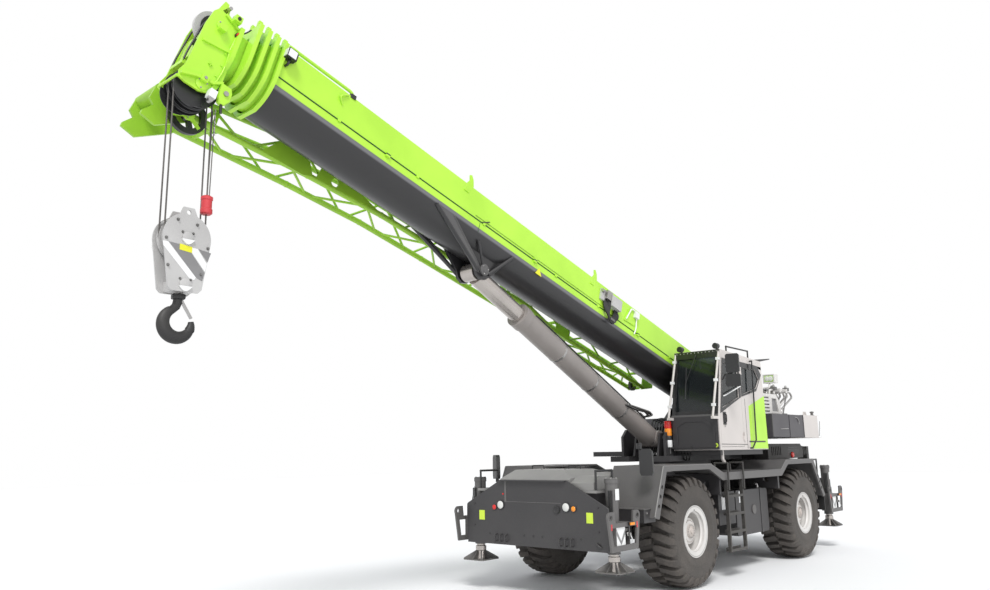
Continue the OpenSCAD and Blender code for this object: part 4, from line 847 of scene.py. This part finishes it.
# %% Cab surrounds and panels
def ring_of(piece, axis, low, high, outer, inner, paint, at=None):
    """A flat ring between two outlines with the same number of corners."""
    put = PUT[axis]
    n = len(outer)
    points = [put(a, b, t) for t in (low, high) for line in (outer, inner) for a, b in line]
    faces = []
    for i in range(n):
        j = (i + 1) % n
        faces += [[i, j, n + j, n + i], [2 * n + j, 2 * n + i, 3 * n + i, 3 * n + j],
            [j, i, 2 * n + i, 2 * n + j], [n + i, n + j, 3 * n + j, 3 * n + i]]
    piece.form(points, faces, paint, at)


rake = math.atan2(0.23, 1.21)
SCREEN = Matrix(((1, 0, 0, 0), (0, math.cos(rake), math.sin(rake), 1.37),
    (0, -math.sin(rake), math.cos(rake), 2.77), (0, 0, 0, 1)))
trim = Piece("cab_trim", "superstructure")
outer = [(0.525, 0.005), (1.445, 0.005), (1.445, 1.225), (0.525, 1.225)]
inner = [(0.600, 0.085), (1.370, 0.085), (1.370, 1.085), (0.600, 1.085)]
ring_of(trim, "y", -0.010, 0.002, outer, inner, black_gloss, SCREEN)
for k in range(12):
    trim.turned((0.58 + k * 0.074, -0.010, 1.195), "y", [(-0.008, 0.007), (0, 0.012)], steel, 10, SCREEN)
# Lower front: charcoal cover with a recess, corner seams and grommets
trim.plate("y", 1.340, 1.352, [(0.53, 2.165), (1.44, 2.165), (1.44, 2.775), (0.53, 2.775)], charcoal)
trim.block((0.525, 1.338, 2.755), (1.448, 1.366, 2.790), frame_grey)
ring_of(trim, "y", 1.330, 1.341,
    [(0.60, 2.20), (1.38, 2.20), (1.38, 2.56), (1.18, 2.70), (0.78, 2.70), (0.60, 2.60)],
    [(0.64, 2.23), (1.34, 2.23), (1.34, 2.53), (1.16, 2.66), (0.80, 2.66), (0.64, 2.57)], charcoal)
trim.turned((0.90, 1.340, 2.215), "y", [(-0.012, 0.012), (-0.012, 0.022), (0, 0.026)], black_plastic, 20)
trim.turned((1.385, 1.340, 2.235), "y", [(-0.004, 0.036), (0, 0.038)], reflector, 28)
trim.turned((1.385, 1.335, 2.235), "y", [(-0.003, 0.014), (0, 0.014)], black_gloss, 20)
trim.bolts([(x, 1.340, z) for x in (0.56, 1.41) for z in (2.20, 2.45, 2.70)], "y", 0.008, black_plastic,
    -0.01)
# Side: rear pane surround, lime panel, dark strip, seams
ring_of(trim, "x", 1.4495, 1.4575,
    [(2.375, 3.135), (2.375, 3.800), (3.17, 3.765), (3.325, 3.60), (3.05, 3.27)],
    [(2.44, 3.18), (2.44, 3.70), (3.08, 3.68), (3.23, 3.50), (3.08, 3.33)], black_gloss)
trim.plate("x", 1.449, 1.4545,
    [(2.635, 2.165), (3.415, 2.165), (3.395, 3.185), (3.34, 3.17), (2.655, 2.965)], lime)
trim.block((1.453, 2.58, 2.285), (1.4565, 3.30, 2.312), charcoal)
trim.tube([(1.4505, 2.50, 2.17), (1.4505, 2.50, 3.10)], 0.004, black_plastic, 6)
trim.tube([(1.4505, 1.42, 2.255), (1.4505, 2.50, 2.245)], 0.005, black_plastic, 6)
trim.plate("x", 1.449, 1.4535, [(2.78, 3.792), (3.35, 3.752), (3.35, 3.70), (3.19, 3.80)], warm_grey)
# Window surrounds on the right side and at the back
ring_of(trim, "x", 0.5125, 0.5205, [(1.50, 2.79), (1.66, 3.86), (3.26, 3.78), (3.26, 2.79)],
    [(1.57, 2.86), (1.73, 3.79), (3.19, 3.71), (3.19, 2.86)], black_gloss)
# Pillar tube clips and the wiper
for x in (0.544, 1.426):
    for z in (2.95, 3.40, 3.80):
        y = 1.195 + (z - 2.74) * 0.3375
        trim.block((x - 0.032, y - 0.034, z - 0.025), (x + 0.032, y + 0.020, z + 0.025), white_paint)
trim.tube([(0.98, -0.012, 1.15), (0.98, -0.035, 1.12), (0.80, -0.035, 0.62)], 0.007, black_plastic, 8,
    at=SCREEN)
trim.tube([(0.80, -0.030, 0.92), (0.80, -0.030, 0.32)], 0.009, black_plastic, 8, at=SCREEN)
# Lamp tower beside the windscreen: red, amber, dark and white drums on a bar
tower = (0.462, 1.290)
trim.tube([(0.53, 1.36, 2.20), (tower[0], tower[1], 2.20), (tower[0], tower[1], 2.22)], 0.014,
    black_plastic)
trim.tube([(0.53, 1.36, 2.64), (tower[0], tower[1], 2.72), (tower[0], tower[1], 2.69)], 0.012,
    black_plastic)
for low, high, paint in ((2.215, 2.345, white_paint), (2.345, 2.425, black_plastic), (2.425, 2.555, amber),
    (2.555, 2.690, red_lens)):
    trim.turned((*tower, low), "z",
        [(0, 0.062), (0.012, 0.066), (high - low - 0.012, 0.066), (high - low, 0.062)], paint, 28)
# Step post below the cab, roof ribs
trim.tube([(1.36, 1.60, 2.16), (1.36, 1.60, 1.98), (1.36, 1.66, 1.94)], 0.030, warm_grey, 14)
for k in range(4):
    trim.block((0.66 + 0.2 * k, 1.80, 3.955), (0.72 + 0.2 * k, 1.84, 3.978), warm_grey)
trim.build(soften=0.002)

door_trim = Piece("door_trim", "door")
ring_of(door_trim, "x", 1.4495, 1.4575, [(1.455, 2.805), (1.655, 3.815), (2.345, 3.785), (2.345, 3.125)],
    [(1.54, 2.90), (1.69, 3.74), (2.27, 3.71), (2.27, 3.12)], black_gloss)
door_trim.tube([(1.46, 1.60, 3.115), (1.478, 1.64, 3.130), (1.478, 2.30, 3.325), (1.46, 2.34, 3.335)],
    0.011, white_paint, 10)
door_trim.block((1.448, 1.545, 2.60), (1.458, 1.665, 2.83), black_plastic)
door_trim.tube([(1.458, 1.60, 2.80), (1.492, 1.60, 2.78), (1.492, 1.60, 2.66), (1.458, 1.60, 2.63)], 0.011,
    black_plastic, 10)
door_trim.turned((1.457, 1.60, 2.575), "x", [(0, 0.020), (0.004, 0.020), (0.006, 0.012), (0.006, 0.0)],
    steel, 20)
door_trim.build(soften=0.0015)
print("cab trim")

# %% [markdown]
# Through the glass one sees a dark seat, a console with a round dial, a small wheel and two levers. The seat
# is padded: a crowned cushion and a back with rounded sides, swollen a little by moving each point along
# a smooth bulge, which is lighter to compute than a cloth run and gives the same soft outline.


# %% Seat and controls
def cushion(name, low, high, crown, paint):
    """A padded block: a fine grid whose faces bulge and whose corners are round."""
    bm = bmesh.new()
    bmesh.ops.create_cube(bm, size=2)
    bmesh.ops.subdivide_edges(bm, edges=bm.edges, cuts=11, use_grid_fill=True)
    centre, half = (Vector(low) + Vector(high)) / 2, (Vector(high) - Vector(low)) / 2
    for v in bm.verts:
        p = v.co.copy()
        length = (abs(p.x) ** 6 + abs(p.y) ** 6 + abs(p.z) ** 6) ** (1 / 6)
        p /= max(length, 1e-6)
        swell = 1 - crown * (1 - (1 - p.x * p.x) * (1 - p.y * p.y) - (1 - p.y * p.y) * (1 - p.z * p.z) * 0.3)
        v.co = centre + Vector((p.x * half.x * swell, p.y * half.y * swell, p.z * half.z * swell))
    mesh = bpy.data.meshes.new(name)
    bm.to_mesh(mesh)
    bm.free()
    mesh.materials.append(paint)
    for face in mesh.polygons:
        face.use_smooth = True
    pad = bpy.data.objects.new(name, mesh)
    scene.collection.objects.link(pad)
    pad.matrix_world = HERE
    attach(pad, "superstructure")
    return pad


fabric = finish("seat_fabric", (0.022, 0.022, 0.024), (0.03, 0.03, 0.033), 0.85, dust=0.0, bump=0.4,
    grain=500)
cushion("seat_cushion", (0.78, 2.25, 2.425), (1.24, 2.80, 2.575), 0.10, fabric)
cushion("seat_back", (0.79, 2.77, 2.58), (1.23, 2.93, 3.18), 0.10, fabric)
controls = Piece("cab_controls", "superstructure")
for x in (0.72, 1.29):
    controls.tube([(x, 2.38, 2.69), (x, 2.37, 2.80), (x, 2.36, 2.86)], 0.012, black_plastic)
    controls.turned((x, 2.36, 2.85), "z", [(0, 0.016), (0.02, 0.026), (0.07, 0.022), (0.085, 0.0)],
        black_plastic, 20)
controls.tube([(1.00, 1.66, 2.55), (1.00, 1.86, 2.84)], 0.026, black_plastic)
wheel_ring = [(1.00 + 0.19 * math.cos(a), 1.87 + 0.19 * math.sin(a) * 0.72,
    2.85 - 0.19 * math.sin(a) * 0.60) for a in [2 * math.pi * k / 28 for k in range(29)]]
controls.tube(wheel_ring, 0.014, black_plastic, 10, 0.5)
controls.block((0.72, 1.48, 2.74), (0.90, 1.52, 2.90), black_gloss)
controls.turned((1.10, 1.50, 2.78), "y", [(0, 0.05), (0.02, 0.055), (0.03, 0.05), (0.03, 0)], black_gloss,
    24)
controls.build()
print("cab interior")

# %% [markdown]
# Behind the cab stand a louvred unit, pipework with valves and a floodlight; behind them the counterweight
# ends in warning stripes. Louvres are slots with a folded lip, the dark in each slot a thin black sheet of
# painted shade, and the stripes are painted on the chamfered corner, so they are thin sheets in the corner's
# own plane.

# %% Service unit, pipework and counterweight
unit = Piece("unit_details", "superstructure")
for i in range(5):
    z = 2.905 + 0.07 * i
    # The black strip in each slot is painted shade inside the opening
    unit.block((1.2005, 3.722, z + 0.001), (1.2030, 4.178, z + 0.034), black_gloss)
    unit.plate("y", 3.722, 4.178,
        [(1.205, z + 0.034), (1.228, z + 0.034), (1.228, z + 0.028), (1.209, z + 0.022)], off_white)
unit.plate("x", 1.2055, 1.2080, [(4.292, 2.922), (4.616, 2.922), (4.518, 3.188), (4.292, 3.188)],
    stripe_grey)
ring_of(unit, "x", 1.228, 1.236, [(4.26, 2.89), (4.66, 2.89), (4.54, 3.22), (4.26, 3.22)],
    [(4.29, 2.92), (4.62, 2.92), (4.52, 3.19), (4.29, 3.19)], off_white)
# Floodlight face and rim
unit.block((0.795, 5.022, 3.595), (1.005, 5.030, 3.735), bright)
for x in (0.86, 0.94):
    unit.turned((x, 5.022, 3.665), "y", [(-0.006, 0.030), (0.0, 0.052), (0.004, 0.056)], lens, 24)
# Pipes run back from the unit and bend down at the rear, over two bars with valves
PIPES = ((1.12, 4.70, 3.370, steel), (1.04, 4.66, 3.400, off_white), (0.96, 4.70, 3.380, steel),
         (0.88, 4.66, 3.405, black_plastic), (0.80, 4.70, 3.370, steel))
for x, y, z, paint in PIPES:
    way = [(x, y, 3.20), (x, y, z), (x, y + 0.88, z), (x, y + 0.98, z - 0.10), (x + 0.02, y + 0.30, 2.99),
        (x + 0.02, y + 0.25, 2.86)]
    unit.tube(way, 0.021, paint, 12, 4)
for y in (4.95, 5.30):
    unit.block((0.76, y, 3.345), (1.16, y + 0.045, 3.435), off_white)
    unit.bolts([(x, y + 0.022, 3.435) for x in (0.84, 1.00, 1.08)], "z", 0.012, steel, 0.018)
    for x in (0.77, 1.15):
        unit.tube([(x, y + 0.022, 3.35), (x, y - 0.28, 2.86)], 0.014, casting)
for x, y in ((1.06, 4.86), (0.92, 5.10), (1.10, 5.42)):
    unit.block((x - 0.05, y - 0.06, 3.40), (x + 0.05, y + 0.06, 3.47), casting)
    unit.turned((x, y, 3.47), "z", [(0, 0.030), (0.03, 0.030), (0.034, 0.018), (0.05, 0.018)], steel, 16)
unit.block((0.70, 4.80, 2.852), (1.18, 5.20, 2.90), casting)
unit.build()

weight = Piece("counterweight_details", "superstructure")
for side in (1, -1):
    # Striped chamfer: white sheet, grey diagonals
    start, end = Vector((side * 1.5, 6.20, 0)), Vector((side * 1.28, 6.56, 0))
    along_edge = (end - start).normalized()
    outward = Vector((side * along_edge.y, abs(along_edge.x), 0)).normalized()
    frame_ = Matrix((along_edge, Vector((0, 0, 1)), outward)).transposed().to_4x4()
    frame_.translation = start
    weight.plate("z", 0.0, 0.0015, [(0.0, 2.385), (0.42, 2.385), (0.42, 2.855), (0.0, 2.855)], white_paint,
        frame_)
    for k in range(3):
        a = 2.30 + 0.23 * k
        corners = [(0.0, a), (0.42, a + 0.30), (0.42, a + 0.40), (0.0, a + 0.10)]
        corners = [(u, min(max(v, 2.385), 2.855)) for u, v in corners]
        if k < 2:
            weight.plate("z", 0.0014, 0.0028, corners, stripe_grey, frame_)
    weight.plate("x", *span(side, 1.5003, 1.5018),
        [(6.05, 2.385), (6.198, 2.385), (6.198, 2.855), (6.05, 2.855)], white_paint)
    weight.plate("x", *span(side, 1.5017, 1.5030), [(6.06, 2.42), (6.10, 2.42), (6.19, 2.74), (6.15, 2.74)],
        stripe_grey)
    # Seams, grab handles and sockets on the dark side
    for y in (3.62, 4.49, 5.245):
        low, high = span(side, 1.4905, 1.499)
        weight.block((low, y - 0.005, 2.392), (high, y + 0.005, 2.848), frame_grey)
    weight.tube([(side * 1.488, 4.80, 2.80), (side * 1.499, 4.90, 2.79), (side * 1.499, 4.98, 2.72),
        (side * 1.488, 5.00, 2.66)], 0.009, steel, 8)
    weight.tube([(side * 1.488, 4.00, 2.55), (side * 1.499, 4.06, 2.55), (side * 1.499, 4.36, 2.56),
        (side * 1.488, 4.40, 2.56)], 0.009, steel, 8)
    weight.turned((side * 1.30, 6.30, 2.86), "z",
        [(0, 0.05), (0.02, 0.05), (0.03, 0.03), (0.07, 0.03), (0.08, 0.045), (0.10, 0.045), (0.11, 0.02)],
        casting, 20)
for x in (-0.8, -0.4, 0.4, 0.8):
    weight.block((x - 0.004, 6.5605, 2.40), (x + 0.004, 6.5625, 2.84), frame_grey)
weight.build(soften=0.001)
print("unit, pipework and counterweight")

# %% [markdown]
# The front panel is one bent charcoal sheet with round lamps let into it. A lamp is a black ring and a domed
# lens, one turned profile each; its bright reflector is not made. Small amber and red lamps stand beside the
# clear ones. Reflectors, a horn, hinges, screws and the folded edges finish the sheet.


# %% Front panel and carrier lamps
def lamp(piece, at, axis, r, paint):
    piece.turned(at, axis, [(0, r * 1.25), (0.012, r * 1.25), (0.016, r * 1.12), (0.016, r * 1.02)],
        black_plastic, 32)
    piece.turned(at, axis,
        [(0.006, r * 1.03), (0.020, r), (0.028, r * 0.80), (0.033, r * 0.45), (0.035, 0.0)], paint, 32)


lamps = Piece("carrier_lamp_set", "carrier")
ahead, behind = (0, -1, 0), (0, 1, 0)
for x, z, r, paint in ((0.65, 1.35, 0.060, lens), (-0.65, 1.35, 0.060, lens), (0.79, 1.33, 0.038, amber),
    (-0.78, 1.31, 0.038, red_lens)):
    lamp(lamps, (x, -2.185, z), ahead, r, paint)
lamps.turned((0.47, -2.185, 1.31), ahead,
    [(0, 0.062), (0.02, 0.060), (0.022, 0.048), (0.008, 0.030), (0.006, 0.0)], black_plastic, 32)
for side in (1, -1):
    lamp(lamps, (side * 0.96, 6.985, 1.33), behind, 0.048, red_lens)
    lamp(lamps, (side * 0.82, 6.985, 1.33), behind, 0.048, amber)
    lamps.block((side * 0.62 - 0.06, 6.984, 1.28), (side * 0.62 + 0.06, 6.992, 1.38), red_lens)
lamp_set = lamps.build(soften=0.001)
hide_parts("carrier_lamps")

panel = Piece("front_panel_details", "carrier")
for x, z in ((-1.06, 1.18), (1.07, 1.21)):
    panel.block((x - 0.058, -2.190, z - 0.075), (x + 0.058, -2.184, z + 0.075), reflector)
edge = [(-1.40, 0.78), (-1.39, 1.35), (-0.66, 1.73), (0.66, 1.73), (1.39, 1.35), (1.40, 0.78)]
panel.tube([(x, -2.176, z) for x, z in edge], 0.011, charcoal, 10, 2)
for x in (-1.22, 1.22):
    panel.bolts([(x, -2.185, 1.02), (x, -2.185, 1.36)], ahead, 0.012, charcoal, 0.014)
for x in (-0.18, 0.0, 0.18, -0.9, 0.9):
    panel.turned((x, -2.185, 0.90), ahead, [(0, 0.02), (0.004, 0.018), (0.004, 0.0)], black_plastic, 16)
panel.block((-0.57, -2.190, 1.395), (-0.53, -2.185, 1.725), frame_grey)
panel.plate("y", -2.188, -2.184, [(-0.55, 1.40), (0.55, 1.40), (0.55, 1.408), (-0.55, 1.408)], frame_grey)
panel.tube([(1.18, -2.19, 0.86), (1.22, -2.215, 0.83), (1.26, -2.19, 0.80)], 0.014, charcoal, 10)
panel.turned((-0.60, -2.186, 1.52), ahead, [(0, 0.014), (0.006, 0.012), (0.006, 0.0)], red_lens, 16)
panel.build()
print("front panel")

# %% [markdown]
# On the deck the cover has seams, grab bars and dark anti-slip patches; the fenders carry rolled edges in a
# lighter grey, a painted highlight, and rubber flaps. Ladder treads are pressed steel with upturned teeth.
# These are small steel parts that repeat, so loops place them from the fender's own outline.

# %% Deck, fenders and ladder
deck = Piece("deck_details", "carrier")
for side in (1, -1):
    deck.plate("z", 1.6005, 1.6025,
        [(side * 0.72, -2.14), (side * 1.17, -2.14), (side * 1.17, -1.62), (side * 0.72, -1.62)],
        black_plastic)
    # Battery box below the fender's front, with its lid and catches
    low, high = span(side, 1.05, 1.52)
    deck.block((low, -1.43, 1.10), (high, -1.10, 1.29), charcoal)
    deck.block((low - 0.006, -1.436, 1.292), (high + 0.006, -1.094, 1.305), frame_grey)
    deck.bolts([(side * 1.52, y, 1.24) for y in (-1.35, -1.17)], (side, 0, 0), 0.012, steel, 0.014)
    # Fender edges in a lighter grey as a painted highlight, flaps and bolts
    front = [(-1.272, 1.18), (-0.945, 1.922), (0.615, 1.922), (1.055, 1.763)]
    rear = [(3.545, 1.763), (3.815, 1.932), (5.255, 1.932), (5.772, 1.18)]
    for line in (front, rear):
        deck.tube([(side * 1.612, y, z) for y, z in line], 0.009, deck_grey, 8, 2)
    deck.bolts([(side * 1.619, y, 1.885) for y in (-0.7, -0.2, 0.3, 4.1, 4.6, 5.0)], (side, 0, 0), 0.009,
        casting, 0.001)
    deck.plate("y", 5.752, 5.764,
        [(side * 0.78, 0.86), (side * 1.60, 0.86), (side * 1.60, 1.16), (side * 0.78, 1.16)], black_plastic)
    # Anti-slip sheets on the side decks
    for y in range(4):
        deck.plate("z", 1.770, 1.7725,
            [(side * 0.86, 1.25 + 0.55 * y), (side * 1.56, 1.25 + 0.55 * y), (side * 1.56, 1.75 + 0.55 * y),
            (side * 0.86, 1.75 + 0.55 * y)], black_plastic)
    for k in range(9):
        deck.tube([(side * 0.90, 3.05 - 0.18 * k, 1.776), (side * 1.52, 3.05 - 0.18 * k, 1.776)], 0.006,
            frame_grey, 6)
# Ladder teeth and side hooks
for z in (0.44, 0.74, 1.04, 1.34):
    for k in range(9):
        y = 1.23 + 0.065 * k
        deck.block((1.525, y, z + 0.012), (1.600, y + 0.012, z + 0.024), frame_grey)
# Blank plates and a round cover on the tank
deck.block((1.400, 1.36, 1.12), (1.403, 1.56, 1.34), white_paint)
deck.block((1.380, 2.10, 1.20), (1.3835, 2.26, 1.40), white_paint)
deck.turned((1.38, 2.70, 1.05), "x", [(0, 0.085), (0.014, 0.085), (0.02, 0.07), (0.02, 0.0)], frame_grey,
    32)
deck.tube([(1.30, 3.10, 1.42), (1.30, 3.10, 1.50), (1.30, 2.98, 1.50)], 0.022, steel, 12)
# Grab bars and screws on the deck cover
for x in (0.30, -0.45):
    deck.tube([(x, -1.30, 1.885), (x, -1.30, 1.945), (x - 0.25, -1.30, 1.945), (x - 0.25, -1.30, 1.885)],
        0.010, black_plastic, 8)
deck.bolts([(x, y, 1.890) for x in (0.36, -0.10, -0.50) for y in (-1.24, -1.80)], "z", 0.010, casting,
    0.012)
deck.build(soften=0.001)
print("deck details")

# %% [markdown]
# Each outrigger ends in a frame with a chevron board, an amber lamp, small red reflectors and a lock pin on
# a handle. The jack's foot is a welded pyramid: a thin pad, a boss, and ribs that run down to the corners.
# All four are alike, so one function builds them from the side and the place along the machine.


# %% Outrigger ends and jack feet
def build_outrigger(tag, side, y):
    at = HERE @ Matrix.Translation((0, y, 0)) @ Matrix.Diagonal((side, 1, 1, 1))
    end = Piece("outrigger_end_" + tag, "outrigger_" + tag, at)
    end.block((1.488, -0.186, 0.838), (1.4905, 0.036, 1.090), white_paint)
    vee = [(-0.186, 1.065), (-0.075, 0.900), (0.036, 1.065), (0.036, 0.985), (-0.075, 0.842),
        (-0.186, 0.985)]
    end.plate("x", 1.4903, 1.4915, vee, stripe_grey)
    end.block((1.509, 0.085, 1.100), (1.5395, 0.225, 1.150), black_plastic)
    end.block((1.5385, 0.098, 1.106), (1.5500, 0.212, 1.144), amber)
    for y_ in (-0.335, 0.335):
        end.plate("x", 1.510, 1.5125,
            [(y_ - 0.016, 1.060), (y_ + 0.016, 1.060), (y_ + 0.016, 1.145), (y_ - 0.016, 1.145)], red_paint)
        end.turned((1.510, y_ * 1.045, 1.235), "x",
            [(-0.002, 0.045), (0.004, 0.045), (0.006, 0.036), (0.006, 0.033)], frame_grey, 32, ring=True)
    # Lock pin with its handle, the hose pipes and the bottom bar
    end.turned((1.44, 0.12, 0.98), "x", [(0, 0.030), (0.05, 0.030), (0.056, 0.022), (0.09, 0.022)], steel,
        20)
    end.tube([(1.505, 0.12, 0.98), (1.525, 0.13, 0.96), (1.525, 0.19, 0.87)], 0.008, white_paint, 8)
    end.block((1.40, 0.075, 1.02), (1.46, 0.20, 1.06), casting)
    end.block((1.470, -0.345, 0.762), (1.5085, 0.345, 0.784), frame_grey)
    for k in range(3):
        x = 1.34 + 0.03 * k
        end.tube([(x, -0.13, 1.152), (x, -0.13, 1.28), (x - 0.02, -0.10, 1.48), (x - 0.02, -0.098, 1.60)],
            0.010, hose, 8)
    end.turned((1.31, 0, 1.762), "z", [(0, 0.100), (0.010, 0.092), (0.010, 0.075)], frame_grey, 40)
    end.bolts([(1.31 + 0.086 * math.cos(a), 0.086 * math.sin(a), 1.765) for a in turns(6)], "z", 0.010,
        steel, 0.014)
    end.block((1.404, -0.050, 1.46), (1.4070, 0.050, 1.62), white_paint)
    end.build()

    leg = Piece("jack_leg_" + tag, "leg_" + tag, HERE @ Matrix.Translation((side * 1.31, y, 0)))
    half = 0.225
    leg.plate("z", 0.450, 0.466,
        [(-half, -half + 0.04), (-half + 0.04, -half), (half - 0.04, -half), (half, -half + 0.04),
        (half, half - 0.04), (half - 0.04, half), (-half + 0.04, half), (-half, half - 0.04)], jack_steel)
    leg.turned((0, 0, 0.460), "z",
        [(0, 0.098), (0.09, 0.074), (0.13, 0.074), (0.135, 0.088), (0.205, 0.088), (0.21, 0.070),
        (1.23, 0.070)], rod_metal, 40)
    # Eight ribs; the four to the corners take a lighter grey, a painted highlight for their lit faces
    for k in range(8):
        turn = Matrix.Rotation(k * math.pi / 4, 4, "Z")
        reach = half * (1.36 if k % 2 else 1.0) - 0.02
        leg.plate("y", -0.008, 0.008,
            [(0.06, 0.462), (reach, 0.462), (reach, 0.478), (0.085, 0.590), (0.06, 0.590)],
            casting if k % 2 else jack_steel, turn)
    for s in (1, -1):
        leg.tube([(s * 0.215, -0.04, 0.474), (s * 0.270, -0.04, 0.474), (s * 0.270, 0.04, 0.474),
            (s * 0.215, 0.04, 0.474)], 0.010, jack_steel, 8)
    jack_leg = leg.build()
    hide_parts("jack_" + tag)


REAR_OUTRIGGER = WHEELBASE + 2.15
for tag, (side, y) in {"fl": (1, -1.95), "fr": (-1, -1.95), "rl": (1, REAR_OUTRIGGER),
    "rr": (-1, REAR_OUTRIGGER)}.items():
    build_outrigger(tag, side, y)
print("outriggers: 4")

# %% [markdown]
# The last small parts are on the turntable and at the back: formed pipes that climb over the turntable to the
# cylinder, the hood's ribbed air duct, a red lamp and tail handrails; no rope is added to the winch. They
# break up the plain dark walls there as the real pipework does.

# %% Turntable pipework and rear details
swing = Piece("turntable_pipes", "superstructure")
for k in range(7):
    x = 0.19 - 0.062 * k
    swing.tube([(x, 1.72, 2.062), (x, 1.66 + 0.01 * k, 2.30), (x * 0.9, 1.80, 2.62 + 0.02 * k),
        (x * 0.8, 2.20, 2.70 + 0.015 * k), (x * 0.7, 2.90, 2.52)], 0.016, (hose, black_plastic)[k % 2], 10,
        5)
    swing.turned((x, 1.72, 2.08), "z", [(0, 0.024), (0.04, 0.024)], (red_lens, steel, white_paint)[k % 3],
        12)
for side in (1, -1):
    swing.turned((side * 0.481, 3.70, 3.15), (side, 0, 0),
        [(0, 0.14), (0.02, 0.14), (0.028, 0.125), (0.036, 0.09), (0.036, 0.0)], frame_grey, 40)
    swing.bolts([(side * 0.505, 3.70 + 0.112 * math.cos(a), 3.15 + 0.112 * math.sin(a)) for a in turns(6)],
        (side, 0, 0), 0.011, steel, 0.014)
    swing.tube([(side * 0.482, 1.30, 2.10), (side * 0.482, 1.30, 2.50), (side * 0.482, 2.55, 2.60),
        (side * 0.482, 3.30, 3.16)], 0.012, frame_grey, 8)
for k in range(4):
    swing.tube([(0.60 + 0.06 * k, 1.56, 2.10), (0.60 + 0.06 * k, 1.48, 2.11), (0.60 + 0.06 * k, 1.46, 2.00),
        (0.56 + 0.04 * k, 1.60, 1.975)], 0.014, hose, 8, 4)
swing.build(soften=0.002)

rear = Piece("rear_details", "carrier")
for side in (1, -1):
    rear.turned((side * 1.105, 5.46, 2.02), (side, 0, 0),
        [(0, 0.062), (0.012, 0.062), (0.030, 0.045), (0.034, 0.0)], red_lens, 28)
    for k in range(7):
        rear.turned((side * 0.95, 6.03 + 0.055 * k, 2.09), "y",
            [(0, 0.097), (0.010, 0.108), (0.020, 0.097)], black_plastic, 36)
    for z in (2.06, 2.10, 2.14, 2.18):
        low, high = span(side, 1.0995, 1.104)
        rear.block((low, 5.25, z - 0.006), (high, 5.85, z + 0.006), black_gloss)
    rear.block((side * 0.30 - 0.02, 6.985, 0.90), (side * 0.30 + 0.02, 7.005, 1.20), frame_grey)
rear.block((-0.26, 6.984, 1.02), (0.26, 6.990, 1.14), white_paint)
rear.turned((0, 6.985, 0.95), behind, [(0, 0.07), (0.01, 0.07), (0.02, 0.03), (0.02, 0.0)], charcoal, 24)
rear.build(soften=0.001)
print("turntable and rear details")
